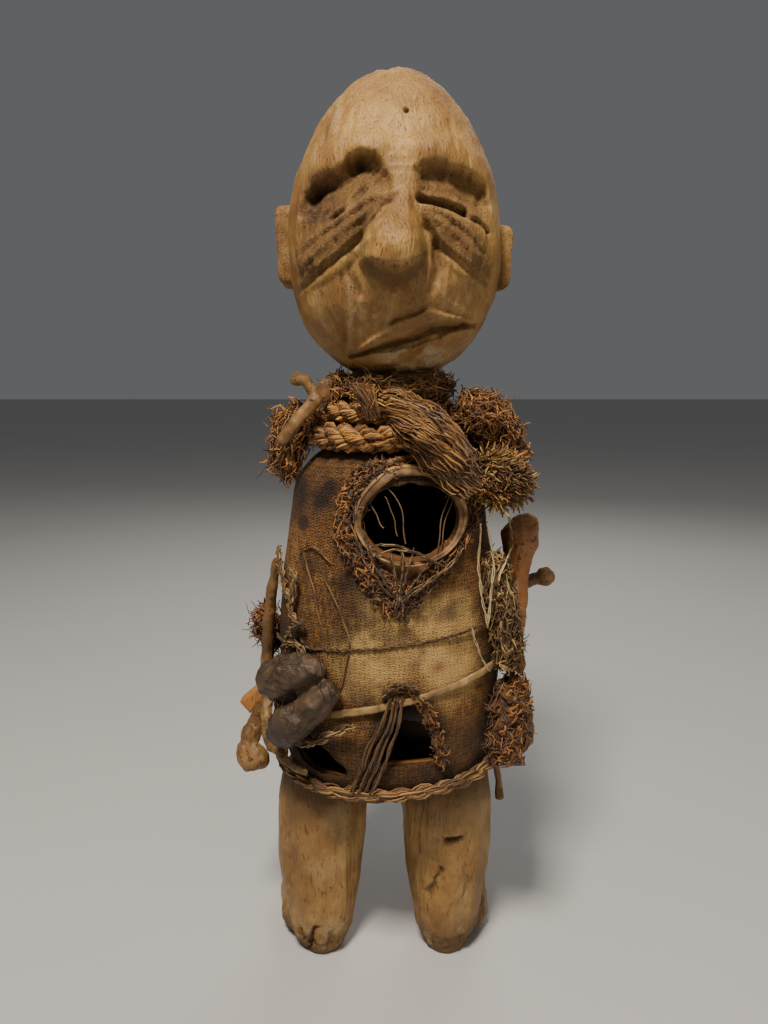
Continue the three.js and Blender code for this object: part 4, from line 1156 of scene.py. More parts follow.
def loose_straw_tree() -> Tree:
    """Single straws that stick out of a surface or lie on it, bent at random."""
    sockets = {
        "Geometry": (GEOMETRY, None), "Density": (FLOAT, 20000.0), "Length": (FLOAT, 0.02),
        "Thickness": (FLOAT, 0.0009), "Stand": (FLOAT, 0.5), "Lean": (FLOAT, 0.6),
        "Comb": (VECTOR, (0.0, 0.0, 0.0)), "Bend": (FLOAT, 0.006), "Cling": (FLOAT, 0.0), "Seed": (INT, 1),
        "Material": (MATERIAL, None),
    }
    pen, given, out = start_group("loose_straw", "GeometryNodeTree", sockets, {"Geometry": GEOMETRY})
    scatter = {"Mesh": given["Geometry"], "Density": given["Density"], "Seed": given["Seed"]}
    points = pen.add("GeometryNodeDistributePointsOnFaces", scatter, distribute_method="RANDOM")
    number = pen.add("GeometryNodeInputIndex").outputs[0]

    def chance(draw: float, low: float = 0.0, high: float = 1.0) -> Socket:
        """A random number for each straw, other for each draw."""
        return random_value(pen, number, pen.plus(given["Seed"], draw), low, high)

    lean = pen.add("ShaderNodeCombineXYZ", {axis: chance(10.0 + axis, -1.0) for axis in range(3)}).outputs[0]
    outwards = pen.scaled(points.outputs["Normal"], given["Stand"])
    lying = pen.vector("CROSS_PRODUCT", points.outputs["Normal"], lean)
    aim = pen.plus_vector(pen.plus_vector(outwards, given["Comb"]), pen.scaled(lying, given["Lean"]))
    turn = pen.add("FunctionNodeAlignRotationToVector", {"Vector": aim}, axis="Z")
    toned = store(pen, points.outputs["Points"], "tone", chance(20.0))
    line = pen.add("GeometryNodeCurvePrimitiveLine", {"End": (0.0, 0.0, 1.0)})
    line = pen.add("GeometryNodeResampleCurve", {"Curve": line.outputs[0], "Count": 5}, mode="COUNT")
    straws = pen.add("GeometryNodeInstanceOnPoints", {
        "Points": toned, "Instance": line.outputs[0], "Rotation": turn.outputs[0],
        "Scale": pen.scaled((1.0, 1.0, 1.0), pen.times(chance(21.0, 0.35), given["Length"])),
    })
    real = pen.add("GeometryNodeRealizeInstances", {"Geometry": straws.outputs[0]})
    factor = pen.add("GeometryNodeSplineParameter").outputs["Factor"]
    at = pen.add("GeometryNodeInputPosition").outputs[0]
    tone = pen.add("GeometryNodeInputNamedAttribute", {"Name": "tone"}, data_type="FLOAT").outputs[0]
    swing = waver(pen, pen.plus_vector(pen.scaled(at, 70.0), pen.scaled((31.0, 17.0, 43.0), tone)))
    swing = pen.scaled(pen.scaled(swing, pen.times(factor, 4.0)), given["Bend"])
    moved = pen.add("GeometryNodeSetPosition", {"Geometry": real.outputs[0], "Offset": swing})
    near = pen.add("GeometryNodeProximity", {0: given["Geometry"]}, target_element="FACES")
    home = pen.vector("SUBTRACT", near.outputs["Position"], pen.add("GeometryNodeInputPosition").outputs[0])
    share = random_value(pen, pen.times(tone, 9999.0), given["Seed"], 0.75)
    home = pen.scaled(home, pen.times(given["Cling"], share))
    laid = pen.add("GeometryNodeSetPosition", {"Geometry": moved.outputs[0], "Offset": home})
    curves = store(pen, laid.outputs[0], "along", pen.add("GeometryNodeSplineParameter").outputs["Length"])
    taper = pen.minus(0.62, pen.times(factor, 0.35))
    return close_tree(pen, curves, pen.times(given["Thickness"], taper), given["Material"], out)


LAID_FIBRE = laid_fibre_tree()
LOOSE_STRAW = loose_straw_tree()


def grow(name: str, base: Piece, tree: Tree, finish: Finish, sizes: dict) -> Piece:
    """Runs a fibre tree on a base and keeps its result as a plain mesh.

    Args:
        name: The new piece's name.
        base: The path or the surface, which is used up.
        tree: The Geometry Nodes tree.
        finish: The fibres' finish.
        sizes: Values of the tree's inputs by name, in metres.

    Returns:
        The new piece.
    """
    modifier = base.modifiers.new("fibres", "NODES")
    modifier.node_group = tree
    found = {item.name: item.identifier for item in tree.interface.items_tree if item.in_out == "INPUT"}
    for key, value in {**sizes, "Material": finish.material()}.items():
        modifier[found[key]] = value
    bpy.context.view_layer.update()
    view = bpy.context.evaluated_depsgraph_get()
    mesh = bpy.data.meshes.new_from_object(base.evaluated_get(view), depsgraph=view)
    mesh.name = name
    base.modifiers.clear()
    bpy.data.objects.remove(base)
    return new_object(name, mesh)


def path_object(paths: list[Array]) -> Piece:
    """Curves through places in design coordinates, for a fibre tree to follow."""
    curve = bpy.data.curves.new("path", "CURVE")
    curve.dimensions = "3D"
    for places in paths:
        spline = curve.splines.new("POLY")
        spline.points.add(len(places) - 1)
        rows = np.column_stack([np.asarray(places) * MM + SHIFT, np.ones(len(places))])
        spline.points.foreach_set("co", rows.reshape(-1))
    return new_object("path", curve)


def merge(name: str, pieces: list[Piece]) -> Piece:
    """Joins meshes into one piece, which keeps their materials and maps."""
    first = pieces[0]
    with bpy.context.temp_override(active_object=first, selected_editable_objects=pieces, object=first):
        bpy.ops.object.join()
    first.name = name
    return first


def strands(name: str, paths: list[Array], finish: Finish, **sizes: float) -> Piece:
    """Laid fibre along paths, with sizes in metres."""
    return grow(name, path_object(paths), LAID_FIBRE, finish, sizes)


def straws(name: str, surface: Piece, finish: Finish, **sizes: object) -> Piece:
    """Loose straws on a copy of a surface, with sizes in metres."""
    return grow(name, new_object("surface", surface.data.copy()), LOOSE_STRAW, finish, sizes)


# The figure


@dataclass(frozen=True)
class Stroke:
    """A knife stroke or ridge: its line and width in mm from the head's middle,
    and how far it stands out."""

    name: str
    line: tuple
    width: float
    rise: float


@dataclass(frozen=True)
class Facet:
    """A carved area: its outline in mm from the head's middle, its rise, its edge's width,
    how torn it is and
    the line that its floor runs out to."""

    name: str
    outline: tuple
    rise: float
    edge: float
    torn: float = 0.0
    sill: tuple = ()


@dataclass
class CarvedHead:
    """The egg-shaped wooden head with its face, ears and neck."""

    x: float = 8.0
    height: float = 228.0
    width: float = 162.0
    depth: float = 168.0
    neck_length: float = 29.0
    neck_radius: float = 34.0
    around: int = 344
    up: int = 182
    facets: tuple = (
        Facet("left eye hollow", (
            (-64, 8), (-62, 17), (-54, 22), (-42, 27), (-31, 35), (-22, 38), (-13, 34), (-6, 24), (-3, 12),
            (-18, 9), (-30, 2), (-44, -5), (-60, -13), (-68, -14),
        ), -15, 10.0, 0.75, ((-2, 7), (-18, 8), (-30, 1), (-44, -6), (-70, -18))),
        Facet("right eye hollow", (
            (14, 25), (23, 30), (39, 31), (54, 29), (63, 22), (66, 8), (65, -6), (56, -2), (40, 3), (18, 6),
        ), -12, 10.0, 0.5, ((14, 4), (40, 0), (56, -6), (72, -14))),
        Facet("left eye", (
            (1, 9), (-18, 8), (-34, -1), (-52, -10), (-70, -20), (-70, -45), (-48, -33), (-26, -18), (-8, 0),
        ), 3.6, 2.0, 1.0),
        Facet("right eye", (
            (18, 3), (35, 0), (53, -9), (65, -22), (69, -32), (65, -41), (48, -33), (30, -20), (19, -7),
        ), 3.2, 2.0, 0.85),
        Facet("left cheek plane", (
            (-10, -14), (-30, -32), (-50, -45), (-68, -52), (-60, -80), (-40, -96), (-30, -70), (-20, -44),
        ), -1.8, 2.4),
        Facet("right cheek plane", (
            (24, -20), (44, -40), (62, -46), (62, -62), (40, -60), (28, -48),
        ), -1.8, 2.4),
        Facet("upper lip", (
            (-30, -93), (-9, -78), (16, -66), (25, -64), (44, -67), (58, -72), (26, -77), (7, -83),
        ), 5, 2.6),
        Facet("lip shadow", ((12, -79), (28, -72), (44, -70), (57, -73), (40, -76), (26, -79)), -5, 2.4,
        0.3),
        Facet("lower lip", (
            (-30, -96), (-6, -92), (14, -88), (36, -80), (58, -74), (52, -84), (30, -94), (4, -101),
            (-18, -102),
        ), 4.5, 2.6),
        Facet("chin underside", (
            (-34, -103), (0, -106), (34, -100), (60, -88), (50, -114), (-30, -116),
        ), -4, 5, 0.3),
    )
    strokes: tuple = (
        Stroke("left brow", ((-60, 34), (-37, 47), (-12, 43)), 9, 4.5),
        Stroke("right brow", ((16, 41), (38, 42), (60, 34)), 9, 4),
        Stroke("brow lines", ((-4, 30), (12, 31)), 1.2, -0.9),
        Stroke("brow lines lower", ((-3, 24), (13, 24)), 1.1, -0.9),
        Stroke("left inner crevice", ((-22, 13), (-27, 8)), 3.0, -6),
        Stroke("left lid crevice", ((-36, 0), (-44, -4)), 2.2, -4.5),
        Stroke("left outer crevice", ((-50, 20), (-58, 12)), 3.0, -4.5),
        Stroke("left eye ridge", ((-12, 2), (-36, -13), (-64, -30)), 2.0, 1.8),
        Stroke("left eye furrow", ((-16, 4), (-38, -8), (-66, -23)), 1.6, -2.0),
        Stroke("left lower lid cut", ((-8, -4), (-26, -21), (-48, -36), (-70, -48)), 2.2, -3.0),
        Stroke("right slit", ((17, 7), (32, 5), (48, 1)), 2.8, -10),
        Stroke("right slit end", ((15, 7), (40, 3), (56, -4)), 1.5, -4),
        Stroke("right outer crevice", ((58, -3), (66, -9)), 2.0, -5),
        Stroke("left brow notch", ((-55, 20), (-46, 23)), 5.0, -8),
        Stroke("left brow crevice", ((-62, 15), (-65, 6)), 4.0, -6),
        Stroke("left brow hole", ((-30, 31), (-24, 33)), 4.0, -5),
        Stroke("right brow crevice", ((62, 22), (66, 12)), 3.4, -3),
        Stroke("right eye ridge", ((28, -7), (44, -17), (60, -30)), 1.8, 1.6),
        Stroke("right eye furrow", ((26, -2), (46, -11), (62, -24)), 1.6, -2.0),
        Stroke("right lower lid cut", ((20, -12), (30, -24), (48, -37), (66, -44)), 2.2, -3.0),
        Stroke("left cheek", ((-46, -58), (-50, -72)), 20, 3),
        Stroke("right cheek", ((42, -52), (52, -60)), 18, 3),
        Stroke("left cheek cut", ((-37, -42), (-36, -62), (-37, -84)), 2.2, -1.4),
        Stroke("nose side cut", ((-16, -62), (-18, -80)), 2.4, -1.3),
        Stroke("nose groove right", ((26, -22), (29, -38), (24, -52)), 3.4, -3.2),
        Stroke("nose groove left", ((-30, -30), (-31, -42), (-25, -54)), 3.2, -2.4),
        Stroke("mouth cut", ((-33, -95), (-10, -89), (8, -85), (26, -79), (60, -73)), 2.0, -5.5),
        Stroke("forehead furrow", ((36, 62), (40, 44)), 2.0, -1.4),
        Stroke("forehead scrape left", ((-50, 52), (-44, 80)), 2.2, -1.3),
        Stroke("forehead scrape middle", ((-41, 50), (-36, 74)), 1.8, -1.2),
        Stroke("forehead scrape right", ((-30, 54), (-27, 70)), 1.6, -1.0),
        Stroke("nail hole", ((7, 67), (7.6, 67)), 1.6, -5),
    )
    dust_lines: tuple = (
        ((-33, -44), (-31, -66), (-33, -90)), ((-24, -58), (-25, -80)), ((-3, -62), (-6, -78)),
        ((34, -50), (33, -64)), ((48, -42), (52, -58)), ((-44, 58), (-40, 84)), ((-58, -52), (-50, -78)),
    )

    def nose(self, x: Array, z: Array) -> Array:
        """Height of the nose: a narrow bridge that swells into a blunt tip, cut flat below."""
        down = np.clip((8 - z) / 42, 0, 1)
        middle = 5 - 7 * down
        bridge = (4 + 15 * down) - np.maximum(0, np.abs(x - middle) - 3 - 6 * down) * 1.2
        side = np.abs(x + 1) * np.where(x < -1, 1.0, 1.08)
        crest = np.abs(x + 1 + 0.25 * (z + 37)) * 0.13
        tip = 31 - (side / 24) ** 3.4 * 26 - (np.maximum(0, z + 37) / 34) ** 2 * 22 - crest
        under = 31 - np.maximum(0, (side / 20) ** 2 * 11 - 39 - z) * 1.7 - (side / 24) ** 3 * 10
        chips = rough(np.stack([x, 0 * x, z], axis=-1), 10, 9)
        tip = np.minimum(tip, under) - np.abs(chips) * 2.2 + 0.6
        parts = np.stack([bridge - np.maximum(0, -34 - z) * 2, tip])
        highest = parts.max(axis=0)
        soft = np.log(np.exp((parts - highest) / 1.8).sum(axis=0)) * 1.8
        top = np.maximum(0, z - 8) * 0.55
        return np.maximum(highest + soft - top - 1.2, 0)

    def relief(self, x: Array, z: Array) -> tuple[Array, Array, Array]:
        """The face's carving.

        Args:
            x: Places across from the head's middle.
            z: Places up from the head's middle.

        Returns:
            How far the wood stands out, its painted shade in the hollows and under the nose, and how torn
            its fibres are.
        """
        places = np.stack([x, np.zeros_like(x), z], axis=-1)
        wobble, splinters = rough(places, 9, 5) * 1.3, layered(places, 4.2, 6, 2) * 1.1
        rise, torn = self.nose(x + wobble * 0.5, z), np.zeros_like(x)
        for facet in self.facets:
            depth = depth_inside(x, z, smooth_line(facet.outline, 48, closed=True)) + wobble
            depth = depth + splinters * (facet.torn > 0.4)
            share = ramp(depth, -facet.edge * 0.3, facet.edge)
            if facet.sill:
                share = share * np.clip(distance_to_line(x, z, facet.sill) / 26, 0, 1) ** 0.8
            rise = rise + facet.rise * share
            torn = np.maximum(torn, facet.torn * ramp(depth, -2.5, 2))
        for stroke in self.strokes:
            away = (distance_to_line(x, z, stroke.line) + wobble * 0.2) / stroke.width
            rise = rise + stroke.rise * np.exp(-np.abs(away) ** 2.4)
        from_ridge = x + 1
        # Painted shade under the nose tip, so that its underside reads dark.
        nose_underside_shade = ramp((from_ridge / 20) ** 2 * 11 - z, 40, 46) * ramp(rise, 3, 9)
        nose_underside_shade = nose_underside_shade * ramp(-np.abs(from_ridge), -25, -20) * ramp(z, -60, -54)
        # Painted shade: darker the deeper a carved hollow goes, and under the nose.
        hollow = np.maximum(np.clip(-rise / 25, 0, 1) ** 1.1 * 0.5, nose_underside_shade * 0.8)
        return rise, hollow, torn

    def skull(self) -> tuple[Array, list, dict[str, Array]]:
        """Places, faces and maps of the head without ears and neck."""
        rise_angle = np.linspace(-np.pi / 2, np.pi / 2, self.up)[:, None]
        spin = np.linspace(-np.pi, np.pi, self.around, endpoint=False)[None, :]
        gathered = spin - 0.42 * np.sin(spin)
        ball = np.stack([
            np.cos(rise_angle) * np.sin(gathered), -np.cos(rise_angle) * np.cos(gathered),
            np.sin(rise_angle) + 0 * gathered,
        ], axis=-1)
        ball[0, :], ball[-1, :] = (0, 0, -1), (0, 0, 1)
        share = (1 + ball[..., 2]) / 2
        full = 1 + 0.24 * (0.5 - share)
        nape = np.where(ball[..., 1] > 0, 1 - 0.3 * ramp(1 - share, 0.55, 1), 1)
        x = ball[..., 0] * full * self.width / 2
        y = ball[..., 1] * full * nape * self.depth / 2
        z = (share - 0.5) * self.height
        facing = ramp(-ball[..., 1], 0.02, 0.4)
        rise, hollow, torn = self.relief(x, z)
        torn = torn * facing
        places = np.stack([x, y, z], axis=-1)
        outwards = unit(ball)
        wide_gouges = np.abs(rough(places * (1, 1, 0.36), 11, 11)) * 1.9
        gouges = 0.9 - wide_gouges - np.abs(rough(places * (1, 1, 0.3), 5.5, 13)) * 0.7
        cuts = layered(places, 26, 12, 2) * 0.9 + gouges + rough(places * (1, 1, 0.1), 2.6, 21) * 0.2
        edge_torn = torn + 0.8 * np.exp(-((hollow - 0.11) / 0.06) ** 2) * facing
        wide = np.abs(x)
        fibres = np.stack([(wide * 0.8 - z * 0.6) * 0.2, 0.3 * places[..., 1], wide * 0.6 + z * 0.8],
        axis=-1)
        crumbs = (np.abs(layered(fibres, 3.6, 31, 3)) * 1.5 + np.abs(layered(places, 7, 37, 3))) * edge_torn
        places += outwards * (cuts - crumbs)[..., None]
        places[..., 1] -= rise * facing
        relief = rise * facing + cuts - crumbs
        cavity = spread_out(relief, 5) - relief
        # A dark patch painted as shade at the left end of the left eye hollow.
        stain = ramp(-np.hypot((x + 55) / 17, (z - 7) / 20), -1.3, -0.3)
        stain = stain * ramp(layered(places, 9, 43, 3), -0.5, 0.4) * 0.75
        # Painted shade: the carved hollows, that patch, and every dip below its neighbours in the relief.
        hollow = np.clip(np.maximum(hollow, stain) * facing + np.clip(cavity - 0.15, 0, 1.1) * 0.3, 0, 1)
        torn = np.clip(np.maximum(torn * 0.85, (edge_torn - torn) * 0.9), 0, 1)
        crust = ramp(layered(places, 12, 41, 2), -0.25, 0.35)
        crust = crust * ramp(-np.hypot((x - 18) / 30, (z + 97) / 9), -1.25, -0.5)
        places += (self.x, 0, RIM + self.neck_length + self.height / 2)
        last = (self.up - 1) * self.around
        keep = np.r_[0, np.arange(self.around, last), last]
        renumber = np.zeros(self.up * self.around, int)
        renumber[keep] = np.arange(len(keep))
        renumber[: self.around] = 0
        renumber[last:] = len(keep) - 1
        grid = grid_faces(self.up, self.around, True)
        faces = [tuple(dict.fromkeys(renumber[list(face)])) for face in grid]
        dust = np.zeros_like(x)
        for line in self.dust_lines:
            dust = np.maximum(dust, np.exp(-(distance_to_line(x, z, line) / 2.2) ** 2))
        ridge = np.maximum(np.clip(-cavity - 0.3, 0, 1) * 0.16, dust * 0.24)
        maps = {"hollow": hollow, "torn": torn, "crust": np.maximum(crust * facing, ridge)}
        flat = {key: values.reshape(-1)[keep] for key, values in maps.items()}
        return places.reshape(-1, 3)[keep], faces, flat

    def ear(self, side: int) -> tuple[Array, list]:
        """One slab ear, with its front grooved up and down."""
        tall = 62 if side < 0 else 50
        level = RIM + self.neck_length + self.height / 2 - 11 - (0 if side < 0 else 8)
        rows, columns = 34, 40
        turn = circle(columns)[None, :]
        share = np.linspace(-1, 1, rows)[:, None]
        square = np.maximum(np.abs(np.cos(turn)), np.abs(np.sin(turn)))
        across, through = np.cos(turn) / square * 10, np.sin(turn) / square * (13 if side < 0 else 10)
        close = np.sqrt(np.clip(1 - np.abs(share) ** 10, 0.02, 1))
        grooves = 0.9 * np.cos(across * 1.5 + 1.0) * (np.sin(turn) < -0.6)
        lean = side * 0.05 * share * tall / 2
        places = np.stack(np.broadcast_arrays(
            self.x + side * (self.width / 2 - 1) + across * close + lean,
            5 + (through + grooves) * close, level + share * tall / 2 + 0 * turn,
        ), axis=-1).reshape(-1, 3)
        places += (rough(places, 7, 51) * 0.7)[:, None]
        return places, tube_faces(rows, columns)

    def build(self) -> None:
        """Makes the head and settles it."""
        places, faces, maps = self.skull()
        skull = make_piece("head_skull", places, faces, maps)
        top = RIM + self.neck_length + self.height * 0.14
        middle = (TRUNK_X + self.x) / 2
        neck_stations = [
            (TRUNK_X, 0, RIM - 33, 26), (TRUNK_X, 0, RIM - 4, 27.5), (TRUNK_X, 0, RIM + 2, 33),
            (middle, 0, RIM + 18, 33), (middle, 0, RIM + 30, 32), (self.x, 0, top, 31),
        ]
        parts = [self.ear(-1), self.ear(1), limb_mesh(neck_stations, 48, 50, GOURD_DEPTH_SHARE, ends=0.03)]
        places, faces = join_meshes(parts)
        places = places + (rough(places, 9, 61) * 0.5)[:, None]
        # Painted shade low on the neck, darker towards the rim where it goes down into the collar.
        low = ramp(-places[:, 2], -(RIM + 60), -RIM)
        rest = make_piece("head_rest", places, faces, {
            "hollow": low * 0.55, "torn": 0.3 + 0 * low, "crust": 0 * low,
        })
        face_outwards(rest)
        head = merge("carved_head", [skull, rest])
        head.data.materials.append(Finish.HEAD.material())
        settle(head, "head_wood", "head")


@dataclass
class KneelingLeg:
    """One carved leg, thigh upright and calf folded back, cracked and dented with age."""

    node: str
    seed: int
    cracks: tuple
    voxel: float = 1.75
    flats: float = 1.5

    def build(self) -> None:
        """Works the leg out of its solid."""
        leg = carve_block(f"carved_{self.node}", self.node, self.voxel, 14)
        places, normals = corners_of(leg)
        broad = layered(places * (1, 1, 0.4), 24, self.seed, 2)
        gouges = -np.abs(rough(places * (1, 1, 0.22), 9, self.seed + 4)) * 1.5
        gouges -= np.abs(rough(places * (1, 1, 0.3), 4.5, self.seed + 5)) * 0.6
        move = broad * self.flats + gouges + 0.7 + rough(places * (1, 1, 0.12), 3.2, self.seed + 7) * 0.25
        x, z = places[:, 0], places[:, 2]
        front = ramp(-normals[:, 1], 0.1, 0.4)
        # Painted shade in the deeper gouges.
        hollow = ramp(-gouges, 1.0, 1.9) * 0.25
        knee = ramp(-z, -46, -14) * front
        torn = knee * 0.75
        move = move - np.abs(layered(places, 6, self.seed + 9, 3)) * knee * 1.5
        for line, width, depth in self.cracks:
            wander = layered(places, 6, self.seed + 15, 3) * 2.6
            girth = width * np.clip(0.9 + layered(places, 7, self.seed + 16, 2) * 0.7, 0.25, 1.6)
            cut = np.exp(-((distance_to_line(x + wander, z, line) / girth) ** 2)) * front
            move = move - depth * cut
            # Painted shade in the cracks.
            hollow = np.maximum(hollow, cut * min(1, depth / 4.5) ** 1.5)
        grounded = ramp(z, 0.5, 7)
        move_corners(leg, places + normals * (move * grounded)[:, None])
        # Painted shade towards the top of the leg, where it goes in under the trunk.
        shade_under_ring = ramp(z + 6 * rough(places, 14, self.seed + 8), 112, 140) * 0.42
        keep_map(leg, "hollow", np.clip(np.maximum(hollow, shade_under_ring), 0, 1))
        keep_map(leg, "torn", np.clip(torn + 0.5 * ramp(z, 128, 150), 0, 1))
        keep_map(leg, "crust", knee * ramp(layered(places, 10, self.seed + 20, 2), 0.2, 0.7) * 0.8)
        leg.data.materials.append(Finish.LEGS.material())
        settle(leg, "leg_wood", self.node)


@dataclass
class Calabash:
    """The hollow gourd, with its windows cut through the wall."""

    sides: int = 100
    rows: int = 50

    def cutter(self, outline: Array) -> Piece:
        """A block with an opening's outline that reaches from the front to the trunk's middle."""
        count = len(outline)
        near = np.column_stack([outline[:, 0], np.full(count, -GOURD_RADIUS - 20), outline[:, 1]])
        far = near * (1, 0, 1)
        faces = [(i, (i + 1) % count, count + (i + 1) % count, count + i) for i in range(count)]
        faces += [tuple(range(count))[::-1], tuple(range(count, 2 * count))]
        block = make_piece("cutter", np.vstack([near, far]), faces)
        face_outwards(block)
        return block

    def build(self) -> None:
        """Makes the shell, cuts the openings and settles it."""
        turn = np.linspace(-180, 180, self.sides, endpoint=False)[None, :]
        outer_share = np.linspace(0, 1, self.rows)[:, None]
        inner_share = np.linspace(1, 0.045, self.rows)[:, None]
        outer = TRUNK.around(turn, outer_share, 0.0)
        inner = TRUNK.around(turn, inner_share, -GOURD_WALL)
        outer += layered(outer, 30, 3, 2)[..., None] * 0.35
        places = np.vstack([outer.reshape(-1, 3), inner.reshape(-1, 3)])
        shell = make_piece("calabash_shell", places, tube_faces(2 * self.rows, self.sides))
        face_outwards(shell)
        for outline in (window_outline(), arch_outline(), slot_outline(-3)):
            flat = np.insert(outline, 1, 0.0, axis=1)
            wavy = outline + 0.8 * np.column_stack([rough(flat, 6, 2), rough(flat, 6, 4)])
            block = self.cutter(wavy)
            cut = shell.modifiers.new("opening", "BOOLEAN")
            cut.operation, cut.object, cut.solver = "DIFFERENCE", block, "EXACT"
            apply_modifiers(shell)
            bpy.data.objects.remove(block)
        places, _ = corners_of(shell)
        share = (places[:, 2] - TRUNK_BASE) / GOURD_HEIGHT
        radius, _ = TRUNK.section(np.clip(share, 0, 1), 0.0)
        reach = np.hypot(places[:, 0] - TRUNK_X, places[:, 1] / GOURD_DEPTH_SHARE)
        # The inside of the wall, painted near black as shade by its finish.
        keep_map(shell, "inside", ramp(radius - reach, GOURD_WALL * 0.5, GOURD_WALL * 0.95))
        shell.data.materials.append(Finish.GOURD.material())
        shell.data.shade_smooth()
        shell.data.set_sharp_from_angle(angle=math.radians(40))
        settle(shell, "gourd", "calabash_body")


@dataclass
class SackclothCover:
    """One sheet of coarse sackcloth drawn round the calabash and torn open at the windows."""

    columns: int = 244
    rows: int = 118
    start: float = 0.05
    end: float = 0.975
    thickness: float = 1.5
    lift: float = 2.6
    mud: tuple = ((38, 300, 34, 26), (-2, 272, 44, 34), (44, 262, 32, 26), (4, 318, 22, 24))
    dark_streak: tuple = ((-34, 310), (-28, 256), (-10, 232))

    def folds(self, places: Array, x: Array, z: Array) -> Array:
        """How far the cloth stands off its even skin."""
        away = depth_inside(x, z, tear_outline())
        lip = np.exp(-((away + 7) / 6) ** 2) * 0.9
        strain = np.sin((x * 0.8 - z * 0.5 + rough(places, 30, 8) * 7) / 4.2)
        strain = strain * np.exp(-((x + 40) / 26) ** 2) * 0.45
        sag = layered(places, 34, 14, 3) * 1.1
        belly = np.exp(-(((x + 2) / 58) ** 2 + ((z - 278) / 26) ** 2)) * (places[..., 1] < 0) * 1.6
        return lip + strain + sag + belly

    def build(self) -> None:
        turn = np.linspace(-180, 180, self.columns, endpoint=False)[None, :]
        share = np.linspace(self.start, self.end, self.rows)[:, None]
        even = TRUNK.around(turn, share, self.lift)
        places = TRUNK.around(turn, share, self.lift + self.folds(even, even[..., 0], even[..., 2]))
        x, z = places[..., 0], places[..., 2]
        ring = np.broadcast_to(np.radians(turn) * GOURD_RADIUS * 0.92, x.shape)
        rise = np.broadcast_to((share - self.start) * GOURD_HEIGHT, x.shape)
        front = np.broadcast_to(np.abs(turn) < 90, x.shape)
        ragged = layered(places, 5, 17, 3) * 1.7
        hole = np.full(x.shape, -99.0)
        for outline in (tear_outline(), arch_outline(2), slot_outline()):
            hole = np.maximum(hole, depth_inside(x, z, outline) + ragged)
        foot = (share - self.start) * GOURD_HEIGHT + ragged * 1.2 - 3
        open_place = (front & (hole > 0)) | np.broadcast_to(foot < 0, x.shape)
        faces = grid_faces(self.rows, self.columns, True)
        faces = faces[~open_place.reshape(-1)[faces].all(axis=1)]
        used = np.unique(faces)
        renumber = np.zeros(x.size, int)
        renumber[used] = np.arange(len(used))
        maps = {
            "across": ring, "up": rise, "clay": self.clay(places, x, z),
            "dark_patches_and_shade": self.dark_patches_and_shade(places, x, z, hole), "spot": self.spots(x, z, front),
        }
        maps = {key: np.asarray(values).reshape(-1)[used] for key, values in maps.items()}
        cover = make_piece("sackcloth_wrap", places.reshape(-1, 3)[used], renumber[faces], maps)
        soften_edges(cover, 5)
        thick = cover.modifiers.new("thickness", "SOLIDIFY")
        thick.thickness, thick.offset = self.thickness * MM, 0
        apply_modifiers(cover)
        cover.data.shade_smooth()
        cover.data.materials.append(Finish.SACKING.material())
        settle(cover, "sackcloth", "sackcloth_cover")
        heights = np.linspace(0, 1, 50)
        radii, levels = TRUNK.section(self.start + heights * (self.end - self.start), np.full(50, self.lift))

    def clay(self, places: Array, x: Array, z: Array) -> Array:
        """Where pale dried mud fills the weave: over the belly and the front below the window."""
        belly = np.zeros_like(x)
        for middle_x, middle_z, wide, tall in self.mud:
            away = ((x - middle_x) / wide) ** 2 + ((z - middle_z) / tall) ** 2
            belly = np.maximum(belly, ramp(-away, -1.7, -0.2))
        back = 0.3 * ramp(places[..., 1], 20, 60)
        patchy = layered(places, 13, 23, 3) * 0.4 - 0.1
        return np.clip(belly * 1.15 + back + patchy, 0, 1) * ramp(-z, -375, -330)

    def dark_patches_and_shade(self, places: Array, x: Array, z: Array, hole: Array) -> Array:
        """Where the cloth is dark: round the torn edges, in patches, darker towards the top, in a streak and
        in ribs, with painted shade at both sides and along the foot.
        """
        front = places[..., 1] < 0
        edge = ramp(hole, -15, -4) * front * 0.85
        # Painted shade along the foot.
        foot = ramp(-z, -236, -186) * 0.75
        # Painted shade where the cloth turns away at both sides.
        sides = (ramp(-x, 38, 74) * ramp(-z, -350, -300) + ramp(x, 66, 86)) * 0.7 * front
        patches = ramp(layered(places, 22, 29, 3), 0.1, 0.8) * 0.9 + ramp(z, 352, 392) * 0.5
        streak = np.exp(-((distance_to_line(x, z, self.dark_streak) / 10) ** 2)) * 0.6
        wave = np.sin((x + 0.15 * z) / 0.95 + rough(places, 20, 8) * 3)
        ribs = ramp(wave, 0.0, 0.9) * np.exp(-(((x + 42) / 24) ** 2 + ((z - 308) / 44) ** 2)) * 0.75 * front
        return np.clip(edge + foot + sides + patches + streak + ribs, 0, 1)

    def spots(self, x: Array, z: Array, front: Array) -> Array:
        """A dark red spot on the belly."""
        return np.exp(-(((x - 41) / 5) ** 2 + ((z - 268) / 4) ** 2)) * front


def ring_path(share_at: Callable[[Array], Array], lift: float, count: int) -> Array:
    """A path once round the trunk, from the back.

    Args:
        share_at: Function that gives the share of the height at a turn in radians.
        lift: Distance from the skin in mm.
        count: Number of places.

    Returns:
        The places, which close on themselves.
    """
    turn = np.linspace(-math.pi, math.pi, count)
    return TRUNK.around(np.degrees(turn), share_at(turn), lift)


def front_path(points: list[tuple[float, float]], lift: float) -> Array:
    """A path on the trunk's front through points seen from the front."""
    line = smooth_line(points, 24)
    return TRUNK.front(line[:, 0], line[:, 1], lift)


def front_paths(lines: tuple, lift: float, layer: float = 0.0) -> list[Array]:
    """Paths on the trunk's front that lie in three layers over each other."""
    return [front_path(list(line), lift + layer * (i % 3)) for i, line in enumerate(lines)]


